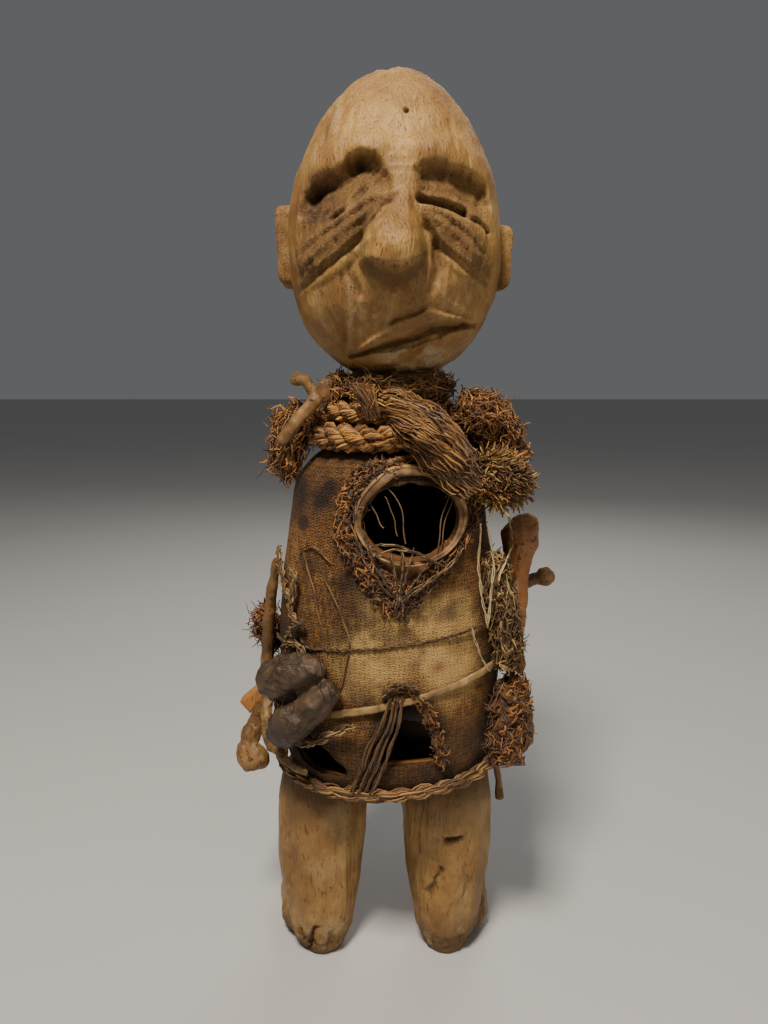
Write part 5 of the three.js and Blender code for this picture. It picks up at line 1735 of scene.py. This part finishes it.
@dataclass
class CaneWork:
    """The twisted foot ring, the window's bent cane with its splint, and the slanting strip."""

    foot_radius: float = 5.0
    band_width: float = 7.0
    band_thickness: float = 2.4
    hoop_width: float = 9.0
    hoop_thickness: float = 5.0

    def foot_ring(self) -> None:
        """Two strands of fibre twisted into a ring, frayed at the right."""
        def level(turn: Array) -> Array:
            """The ring's height as a share of the trunk's."""
            return 0.09 - 0.018 * np.cos(turn) + 0.012 * np.sin(turn)

        ring = strands(
            "foot_ring", [ring_path(level, ON_COVER + self.foot_radius, 150)], Finish.RING, Strands=2,
            Straws=36, Winding=0.0021, Spread=0.0031, Turns=15.0, Lay=9.0, Thickness=0.0016, Fray=0.0026,
            Ends=0.06, Step=0.0052, Seed=11,
        )
        settle(ring, "cane", "base_hoop")

    def flat_ring(
        self, name: str, centre: Array, across: Array, up: Array, size: tuple[Array, Array], finish: Finish,
    ) -> Piece:
        """A closed strip with worn corners.

        Args:
            name: The piece's name.
            centre: Its middle line.
            across: Directions through its thickness.
            up: Directions along its width.
            size: Half the thickness and half the width at each place.
            finish: Its finish.

        Returns:
            The strip.
        """
        sides = 14
        turn = circle(sides)[None, :, None]
        square = 1 / np.maximum(np.abs(np.cos(turn)), np.abs(np.sin(turn))) ** 0.7
        thick, wide = (np.asarray(value)[:, None, None] for value in size)
        through = across[:, None] * np.cos(turn) * square * thick
        places = centre[:, None] + through + up[:, None] * np.sin(turn) * square * wide
        places = places + (layered(places, 9, 9, 3) * 0.55)[..., None] * across[:, None]
        rows = len(centre)
        faces = grid_faces(rows + 1, sides, True) % (rows * sides)
        tone = 0.45 + 0.4 * layered(places, 5, 12, 3)
        along = np.broadcast_to(np.arange(rows)[:, None] * 0.003, places.shape[:2])
        piece = make_piece(name, places.reshape(-1, 3), faces, {"tone": tone, "along": along})
        face_outwards(piece)
        piece.data.materials.append(finish.material())
        return piece

    def slanting_strip(self) -> None:
        """The pale flat strip that goes round the trunk."""
        def level(turn: Array) -> Array:
            """The strip's height as a share of the trunk's."""
            return 0.292 + 0.072 * np.sin(turn + math.radians(8))

        half = self.band_thickness / 2
        path = ring_path(level, ON_COVER + half, 161)[:-1]
        across = unit(path - ring_path(level, ON_COVER - 1, 161)[:-1])
        up = unit(np.cross(across, np.roll(path, -1, axis=0) - np.roll(path, 1, axis=0)))
        width = self.band_width / 2 * (0.82 + 0.18 * rough(path, 35, 4))
        strip = self.flat_ring("slanting_strip", path, across, up, (np.full(160, half), width), Finish.STRIP)
        settle(strip, "cane", "cross_band")

    def window_cane(self) -> None:
        """The bent cane round the window, broad at the top and right."""
        turn = circle(120)
        x = WINDOW_X + (WINDOW_WIDTH + self.hoop_width) / 2 * np.cos(turn)
        z = WINDOW_Z + (WINDOW_HEIGHT + self.hoop_width) / 2 * np.sin(turn)
        centre = TRUNK.front(x, z, ON_COVER + 0.4 + self.hoop_thickness / 2)
        up = unit(centre - TRUNK.front(x, z, ON_COVER - 1))
        across = unit(np.cross(np.roll(centre, -1, axis=0) - np.roll(centre, 1, axis=0), up))
        wide = 0.72 + 0.34 * np.cos(turn - math.radians(80)) + 0.1 * rough(centre, 16, 6)
        wide = self.hoop_width / 2 * wide
        thick = self.hoop_thickness / 2 * (0.62 + 0.12 * np.cos(turn - math.radians(200)))
        cane = self.flat_ring("window_cane", centre, up, across, (thick, wide), Finish.CANE)
        outside = centre + up * thick[:, None] * 1.1 + across * (wide * 0.45)[:, None]
        strip = (thick * 0.55, wide * (0.34 + 0.12 * np.sin(turn * 2)))
        bark = self.flat_ring("window_bark", outside, up, across, strip, Finish.STRIP)
        settle(merge("window_cane", [cane, bark]), "cane", "window_hoop")

    def splint(self) -> None:
        """The thin split cane above the window's cane."""
        angles = np.radians([145, 118, 90, 62, 40])
        x = WINDOW_X + (WINDOW_WIDTH / 2 + 6) * np.cos(angles)
        z = WINDOW_Z + (WINDOW_HEIGHT / 2 + self.hoop_width + 3.1) * np.sin(angles)
        places = TRUNK.front(x, z, ON_COVER + 2.3)
        stations = [(*place, 2.3) for place in places]
        body = limb_mesh(stations, 14, 60, 0.65, ends=0.05)
        tone = 0.6 + 0.3 * rough(body[0], 7, 12)
        piece = make_piece("cane_splint", *body, {"tone": tone, "along": body[0][:, 0] * MM})
        face_outwards(piece)
        piece.data.materials.append(Finish.CANE.material())
        settle(piece, "cane", "hoop_splint")

    def build(self) -> None:
        """Makes all four."""
        self.foot_ring()
        self.slanting_strip()
        self.window_cane()
        self.splint()


@dataclass
class Cordage:
    """The neck's straw ropes, the belly cord, the lashings and the thin strings."""

    lower_radius: float = 11.0
    upper_radius: float = 9.0
    neck_radius: float = 34.4

    def collar(self) -> None:
        """Two coils of thick laid straw rope, and the tuft of straw under the chin."""
        lower = ring_path(lambda turn: 0.93 - 0.012 * np.cos(turn), ON_COVER + self.lower_radius, 150)
        settle(strands(
            "lower_rope", [lower], Finish.ROPE, Strands=3, Straws=74, Winding=0.0052, Spread=0.0058,
            Turns=7.0, Lay=9.0, Thickness=0.0019, Fray=0.0016, Ends=0.03, Step=0.006, Seed=21,
        ), "rope", "rope_collar_lower")
        turn = np.linspace(-math.pi, math.pi, 130)
        reach = self.neck_radius + self.upper_radius
        level = RIM + self.lower_radius * 0.68 - 2 * np.cos(turn)
        upper = np.stack([TRUNK_X + reach * np.sin(turn), -reach * np.cos(turn), level], axis=1)
        settle(strands(
            "upper_rope", [upper], Finish.ROPE, Strands=3, Straws=64, Winding=0.0043, Spread=0.005,
            Turns=6.0, Lay=8.0, Thickness=0.0018, Fray=0.0014, Ends=0.03, Step=0.0057, Seed=22,
        ), "rope", "rope_collar_upper")
        tassel = [
            smooth_line([
                (-9 + side, -52, RIM + 2), (-11 + side, -57, RIM + 14), (-17 + side * 2.4, -59, RIM + 28),
            ], 12)
            for side in (-2.5, 0.0, 2.5)
        ]
        settle(strands(
            "straw_tassel", tassel, Finish.ROPE, Straws=44, Spread=0.0034, Lay=0.3, Thickness=0.0012,
            Fray=0.006, Ends=0.3, Seed=23,
        ), "straw")

    def belly(self) -> None:
        """The thin dark cord round the belly."""
        path = ring_path(lambda turn: 0.45 + 0.035 * np.sin(turn), ON_COVER + 1.2, 150)
        settle(strands(
            "belly_cord_twist", [path], Finish.DARK_TWINE, Strands=2, Straws=7, Winding=0.0008,
            Spread=0.0009, Turns=46.0, Lay=40.0, Thickness=0.0009, Fray=0.0008, Ends=0.02, Seed=31,
        ), "twine", "belly_cord")

    def front_cords(self) -> None:
        """Cords from the strip down to the foot ring, knotted over the strip."""
        lift = ON_COVER + 3.5
        paths = []
        for i, spread in enumerate((-3.2, -2.4, -0.9, -0.2, 0.7, 2.1, 2.6)):
            paths.append(front_path([
                (10 + spread * 1.6, 251), (6 + spread * (2.0 + 0.7 * (i % 2)), 230), (-3 + spread * 3.1,
                207),
                (-12 + spread * (2.6 + 0.6 * (i % 3)), 184), (-18 + spread * 3.2, 168 + 3 * (i % 3)),
            ], lift + 1.6 * (i % 3)))
        cords = strands(
            "front_cords", paths, Finish.DARK_TWINE, Straws=5, Spread=0.0009, Thickness=0.001, Fray=0.0024,
            Seed=41,
        )
        loops = [front_path([(-2, 250), (8, 257), (18, 256), (26, 252)], lift + side) for side in (0.0, 1.8)]
        knot = strands(
            "front_knot", loops, Finish.DARK_TWINE, Strands=2, Straws=8, Winding=0.0014, Spread=0.0014,
            Turns=2.0, Thickness=0.001, Fray=0.0018, Step=0.003, Seed=42,
        )
        settle(merge("front_cords", [cords, knot]), "twine", "front_lashing")

    def window_twine(self) -> None:
        """Twine drawn to a V under the window, over its lower edge, and loose strings in the opening."""
        lines = (
            ((-19, 392), (-22, 372), (-14, 350), (-2, 332), (9, 320)),
            ((-16, 372), (-9, 350), (2, 332), (11, 321)),
            ((54, 347), (40, 337), (26, 328), (12, 319)), ((60, 356), (44, 341), (24, 329), (11, 322)),
            ((-13, 356), (-1, 361), (12, 359), (28, 352), (44, 343), (52, 338)),
            ((-9, 352), (6, 357), (24, 354), (40, 345)), ((22, 358), (17, 342), (12, 322)),
            ((4, 358), (8, 340), (11, 320)), ((13, 357), (13, 338), (10, 314)),
            ((34, 350), (24, 336), (13, 320)), ((10, 326), (9, 314), (12, 305)),
            ((12, 326), (14, 314), (8, 306)),
        )
        twine = strands(
            "window_twine", front_paths(lines, ON_COVER + 7, 0.6), Finish.TWINE, Straws=5, Spread=0.0011,
            Lay=4.0, Thickness=0.001, Seed=51,
        )
        hanging = (
            ((-14, 400), (-4, 378), (0, 372)), ((-8, 404), (4, 400), (12, 388), (16, 360)),
            ((52, 402), (46, 388), (42, 372), (40, 352)), ((56, 400), (50, 388), (44, 368), (43, 350)),
            ((49, 404), (46, 392)), ((0, 396), (6, 384), (10, 366)),
        )
        strings = strands(
            "window_strings", front_paths(hanging, ON_COVER - 3), Finish.TWINE, Straws=3, Spread=0.0007,
            Lay=2.0, Thickness=0.0008, Ends=0.05, Seed=52,
        )
        settle(merge("window_twine", [twine, strings]), "twine", "upper_lashing")

    def strings(self) -> None:
        """Thin strings down the left side, and pale looped ones beside the right arm bone."""
        left = (
            ((-62, 352), (-52, 318), (-46, 286), (-44, 262)),
            ((-50, 345), (-38, 320), (-26, 290), (-30, 262), (-34, 250)),
            ((-66, 350), (-54, 356), (-40, 345)), ((-66, 330), (-70, 300), (-62, 280)),
        )
        right = (
            ((72, 372), (70, 340), (74, 312), (78, 296)), ((76, 374), (82, 344), (80, 318), (77, 294)),
            ((96, 378), (101, 352), (90, 335), (86, 326)), ((64, 300), (72, 276), (80, 262)),
        )
        dark = strands(
            "left_strings", front_paths(left, ON_COVER + 1), Finish.DARK_TWINE, Straws=3, Spread=0.0005,
            Thickness=0.0009, Fray=0.001, Ends=0.03, Seed=61,
        )
        pale = strands(
            "right_strings", front_paths(right, ON_COVER + 18), Finish.PALE_TWINE, Straws=4, Spread=0.0008,
            Fray=0.001, Ends=0.04, Seed=62,
        )
        loops = (
            ((-84, 350), (-82, 336), (-78, 322), (-73, 312)),
            ((-80, 270), (-75, 278), (-65, 280), (-58, 267), (-65, 262)),
            ((-72, 340), (-68, 326), (-72, 306), (-66, 296)), ((-60, 300), (-70, 292), (-76, 280)),
        )
        looped = strands(
            "left_loops", front_paths(loops, ON_COVER + 7), Finish.TWINE, Strands=2, Straws=9,
            Winding=0.0016, Spread=0.0017, Turns=3.0, Ends=0.08, Seed=63,
        )
        tie = ((-84, 236), (-84, 214), (-74, 204), (-56, 208), (-34, 221), (-22, 226))
        tied = strands(
            "left_tie", front_paths([tie], ON_COVER + 9), Finish.TWINE, Strands=2, Straws=14, Winding=0.002,
            Spread=0.0022, Turns=3.0, Fray=0.0022, Ends=0.08, Seed=64,
        )
        settle(merge("thin_strings", [dark, pale, looped, tied]), "twine")

    def build(self) -> None:
        """Makes all the cordage."""
        self.collar()
        self.belly()
        self.front_cords()
        self.window_twine()
        self.strings()


@dataclass
class RaffiaHank:
    """A thick hank of raffia that hangs over the collar to the right."""

    stations: tuple = (
        (-2, -44, RIM + 18, 9), (8, -54, RIM + 12, 12), (22, -65, RIM + 2, 16), (40, -69, RIM - 18, 19),
        (54, -65, RIM - 38, 15), (64, -60, RIM - 52, 10),
    )

    def build(self) -> None:
        """Makes the hank's strands, fanned over its width."""
        paths = []
        for spread in np.linspace(-1, 1, 7):
            line = np.array(self.stations, float)
            sideways = np.array([0.72, 0.0, 0.69]) * spread
            places = line[:, :3] + sideways * line[:, 3:] * 0.58
            places[:, 1] += 9 * abs(spread) ** 2
            places += 4.0 * np.stack([rough(places, 14, 5 + axis) for axis in range(3)], axis=1)
            paths.append(smooth_line(places, 30))
        hank = strands(
            "raffia_strands", paths, Finish.RAFFIA, Straws=84, Spread=0.0068, Lay=0.9, Thickness=0.0015,
            Fray=0.0105, Ends=0.14, Step=0.006, Seed=71,
        )
        settle(hank, "raffia", "raffia_hank")


@dataclass
class StrawTangle:
    """A tangle of straw round a core that follows its solid."""

    node: str
    finish: Finish
    seed: int
    density: float
    length: float
    comb: tuple = (0.0, 0.0, 0.0)
    stand: float = 0.45
    lean: float = 0.8
    bend: float = 0.006
    thickness: float = 0.0012
    stray: float = 0.1
    cling: float = 0.8
    lumps: float = 2.6
    voxel: float = 2.0

    def build(self) -> None:
        """Makes the core and its straws as one piece."""
        core = carve_block(f"{self.node}_core", self.node, self.voxel, 3)
        places, normals = corners_of(core)
        move = layered(places, 9, self.seed, 3) * self.lumps - 1.2
        move_corners(core, places + normals * move[:, None])
        keep_map(core, "tone", 0.3 + 0.3 * layered(places, 2.4, self.seed + 3, 2))
        keep_map(core, "along", layered(places, 5, self.seed + 4, 2) * 0.02)
        lying = straws(
            f"{self.node}_lying", core, self.finish, Density=self.density, Length=self.length * 1.25,
            Stand=0.45, Lean=1.0, Comb=shade(self.comb, 0.3), Bend=self.bend * 1.5,
            Thickness=self.thickness * 1.4, Seed=self.seed, Cling=self.cling,
        )
        fibres = straws(
            f"{self.node}_straws", core, self.finish, Density=self.density * self.stray, Length=self.length,
            Stand=self.stand, Lean=self.lean, Comb=self.comb, Bend=self.bend, Thickness=self.thickness,
            Seed=self.seed + 300, Cling=self.cling * 0.45,
        )
        core.data.materials.append(self.finish.material())
        settle(merge(f"{self.node}_tangle", [lying, fibres, core]), "straw", self.node)


@dataclass
class OpeningBinding:
    """The crust of dark fibre loops along the torn edges of the cloth."""

    def rim(self, name: str, outline: Array, lift: float, thick: tuple[float, float], seed: int) -> Piece:
        """A lumpy roll of fibre along an outline.

        Args:
            name: The piece's name.
            outline: The line it follows, seen from the front.
            lift: Its distance from the calabash's skin.
            thick: Radius at the left and at the right.
            seed: Number that chooses its lumps.

        Returns:
            The roll with its loops.
        """
        count, sides = 150, 18
        line = smooth_line(outline, count)
        centre = TRUNK.front(line[:, 0], line[:, 1], lift)
        outwards = centre - TRUNK.front(line[:, 0], line[:, 1], lift - 3)
        outwards = unit(outwards)
        ahead = np.gradient(centre, axis=0)
        across = np.cross(ahead, outwards)
        across = unit(across)
        turn = circle(sides)[None, :, None]
        left = ramp(-line[:, 0], -WINDOW_X - 20, -WINDOW_X + 20)
        radius = (thick[0] * left + thick[1] * (1 - left))[:, None, None]
        ends = np.sqrt(np.clip(1 - np.abs(np.linspace(-1, 1, count)) ** 12, 0.01, 1))[:, None, None]
        ring = across[:, None] * np.cos(turn) * 1.5 + outwards[:, None] * np.sin(turn) * 0.62
        places = centre[:, None] + ring * radius * ends
        bumps = layered(places, 3.4, seed, 3) * 0.9
        places = places + outwards[:, None] * bumps[..., None] * ends
        # The tone follows the lumps, so the raised ones get a painted highlight and the dips painted shade.
        roll = make_piece(name, places.reshape(-1, 3), tube_faces(count, sides), {
            "tone": 0.35 + 0.35 * bumps, "along": bumps * 0.03,
        })
        face_outwards(roll)
        roll.data.materials.append(Finish.CRUST.material())
        loops = straws(
            f"{name}_loops", roll, Finish.CRUST, Density=215000.0, Length=0.014, Stand=0.6, Lean=1.0,
            Bend=0.008, Thickness=0.0018, Cling=0.72, Seed=seed,
        )
        return merge(name, [loops, roll])

    def build(self) -> None:
        """Makes the rolls of the window and of the arch."""
        tear = tear_outline(7.5)
        settle(self.rim("window_binding", np.roll(tear, 44, axis=0), 4.6, (5.6, 2.8), 81), "straw")
        arch = arch_outline(4)
        settle(self.rim("arch_binding", arch[22:], 4.0, (0.9, 2.0), 85), "straw")


@dataclass
class WornSolid:
    """A bone, peg or hide that keeps its solid's shape, worked finer."""

    node: str
    slot: str
    finish: Finish
    seed: int
    voxel: float = 1.3
    soften: int = 5
    lumps: float = 0.8
    size: float = 9.0
    torn_from: float = 0.75

    def build(self) -> None:
        """Works the piece out of its solid."""
        piece = carve_block(f"{self.node}_worn", self.node, self.voxel, self.soften)
        places, normals = corners_of(piece)
        middle = (places.max(axis=0) + places.min(axis=0)) / 2
        half = max((places.max(axis=0) - places.min(axis=0))[2] / 2, 1)
        reach = np.abs(places[:, 2] - middle[2]) / half
        torn = ramp(reach + 0.15 * rough(places, 5, self.seed + 5), self.torn_from, 1.0)
        splinters = np.abs(layered(places, 2.6, self.seed + 2, 2)) * torn * 0.8
        move = layered(places, self.size, self.seed, 3) * self.lumps - splinters
        move_corners(piece, places + normals * move[:, None])
        keep_map(piece, "torn", torn)
        # Painted shade in the dents, for the finishes that read it.
        keep_map(piece, "hollow", ramp(-move, 0.2, 1.5) * 0.8)
        piece.data.materials.append(self.finish.material())
        settle(piece, self.slot, self.node)


@dataclass
class Studio:
    """A pale floor, soft lights and the camera at the photograph's angle."""

    lens: float = 27.03
    distance: float = 620.0
    level: float = 475.0
    pitch: float = 9.23
    reach: float = 30.0
    floor_dark: Colour = (0.5, 0.495, 0.485)
    floor_light: Colour = (0.54, 0.535, 0.525)
    sky: tuple = (0.6, 0.61, 0.63, 1)
    sky_strength: float = 0.2
    aim: Colour = (0.0, 0.0, 0.36)

    def camera(self) -> None:
        """Sets the scene's camera."""
        data = bpy.data.cameras.new("camera")
        data.lens, data.sensor_width = self.lens, 36.0
        camera = new_object("camera", data)
        camera.location = (np.array([0.0, -self.distance, self.level]) * MM + SHIFT).tolist()
        camera.rotation_euler = (math.radians(90 - self.pitch), 0, 0)
        bpy.context.scene.camera = camera

    def light(self, name: str, place: Colour, size: float, power: float, colour: Colour) -> None:
        """Adds one soft light that looks at the figure."""
        data = bpy.data.lights.new(name, "AREA")
        data.size, data.energy, data.color = size, power, colour
        light = new_object(name, data)
        light.location = place
        aim = Vector(self.aim) - light.location
        light.rotation_euler = aim.to_track_quat("-Z", "Y").to_euler()

    def floor(self) -> None:
        """Lays the pale floor, with a faint unevenness in its tone."""
        mesh = bpy.data.meshes.new("floor")
        corners = [(x * self.reach, y * self.reach, 0) for x, y in ((-1, -1), (1, -1), (1, 1), (-1, 1))]
        mesh.from_pydata(corners, [], [(0, 1, 2, 3)])
        floor = new_object("floor", mesh)
        surface = Surface("pale_floor", 0.85)
        tone = surface.pen.noise(surface.place, 3.0, 2.0)
        surface.colour = surface.pen.mix(tone, self.floor_dark, self.floor_light)
        mesh.materials.append(surface.finish(tone, 0.1))

    def build(self) -> None:
        """Sets up the camera, the floor and the lights."""
        self.camera()
        self.floor()
        self.light("key", (-0.3, -0.9, 1.9), 0.4, 50.0, (1.0, 0.91, 0.78))
        self.light("fill", (1.5, -1.3, 0.75), 1.6, 6.0, (1.0, 0.93, 0.85))
        self.light("back", (0.4, 1.5, 1.6), 1.2, 12.0, (1.0, 0.97, 0.92))
        world = bpy.data.worlds.new("studio")
        bpy.context.scene.world = world
        world.use_nodes = True
        background = world.node_tree.nodes["Background"]
        background.inputs["Color"].default_value = self.sky
        background.inputs["Strength"].default_value = self.sky_strength


def tangles() -> list[StrawTangle]:
    """The straw, fibre and tufts, each with its own lie and length."""
    return [
        StrawTangle("straw_ruff", Finish.ROPE, 91, 120000.0, 0.02, comb=(0, -0.1, 0.3), stand=0.5,
                    bend=0.008, stray=0.16),
        StrawTangle("straw_brush_right", Finish.BRUSH, 92, 120000.0, 0.013, comb=(0.5, -0.55, -0.1),
                    stand=0.6, lean=0.35, bend=0.002, stray=1.5, thickness=0.0015, cling=0.0),
        StrawTangle("straw_mass_right", Finish.STRAW, 93, 125000.0, 0.02, comb=(0.2, 0, 0.1), bend=0.009),
        StrawTangle("straw_mass_left", Finish.STRAW, 94, 130000.0, 0.022, comb=(-0.35, 0, -0.3),
                    bend=0.009, stray=0.16),
        StrawTangle("straw_side_right", Finish.TWINE, 95, 160000.0, 0.014, lean=1.1, bend=0.01,
                    thickness=0.0011),
        StrawTangle("hip_mass_right", Finish.CRUST, 96, 75000.0, 0.012, lean=1.1, bend=0.007, lumps=6.5),
        StrawTangle("side_tuft_left", Finish.TUFT, 97, 200000.0, 0.016, comb=(-0.3, 0, -0.1),
                    bend=0.01, stray=0.5, thickness=0.0011),
    ]


def worn_solids() -> list[WornSolid]:
    """The bones, the hide and the peg."""
    return [
        WornSolid("shoulder_bone_left", "bone", Finish.BONE, 101),
        WornSolid("shoulder_blade_left", "bone", Finish.BONE, 102),
        WornSolid("side_bone_left", "bone", Finish.BONE, 103),
        WornSolid("arm_bone_right", "stained_bone", Finish.STAINED_BONE, 104, soften=10),
        WornSolid("rear_bone_right", "bone", Finish.BONE, 105, soften=8),
        WornSolid("hip_bone_left", "bone", Finish.BONE, 106, soften=8, lumps=1.3),
        WornSolid("hip_bone_right", "stained_bone", Finish.DARK_BONE, 107, lumps=1.8),
        WornSolid("hanging_bone_right", "bone", Finish.BONE, 108, voxel=0.8, lumps=0.4),
        WornSolid("hip_peg_left", "peg_wood", Finish.PEG, 109, soften=2, lumps=0.3, torn_from=0.9),
        WornSolid("hide_bundle_left", "hide", Finish.HIDE, 110, soften=10, lumps=2.6, size=13.0),
        WornSolid("hip_straps_left", "hide", Finish.STRAP, 111, soften=4, lumps=1.0),
    ]


def main() -> None:
    """Builds the studio and every piece in order."""
    logging.basicConfig(level=logging.INFO, format="%(message)s")
    Studio().build()
    CarvedHead().build()
    left_cracks = (
        (((-57, 30), (-60, 18), (-64, 2)), 2.0, 5.0), (((-70, 26), (-67, 16)), 1.8, 3.0),
        (((-60, 58), (-58, 40)), 1.1, 1.2), (((-44, 24), (-46, 14)), 2.6, 2.0),
        (((-76, 96), (-80, 60), (-78, 40)), 2.4, 1.2),
    )
    right_cracks = (
        (((52, 106), (63, 108)), 2.0, 6.0), (((46, 82), (41, 70), (37, 58)), 1.7, 3.6),
        (((70, 84), (66, 60), (60, 40)), 1.5, 1.2), (((76, 92), (72, 66)), 1.4, 1.0),
        (((58, 76), (55, 50)), 1.3, 0.9),
    )
    KneelingLeg("leg_left", 3, left_cracks).build()
    KneelingLeg("leg_right", 33, right_cracks).build()
    Calabash().build()
    SackclothCover().build()
    OpeningBinding().build()
    CaneWork().build()
    Cordage().build()
    RaffiaHank().build()
    for tangle in tangles():
        tangle.build()
    for solid in worn_solids():
        solid.build()


if __name__ == "__main__":
    main()
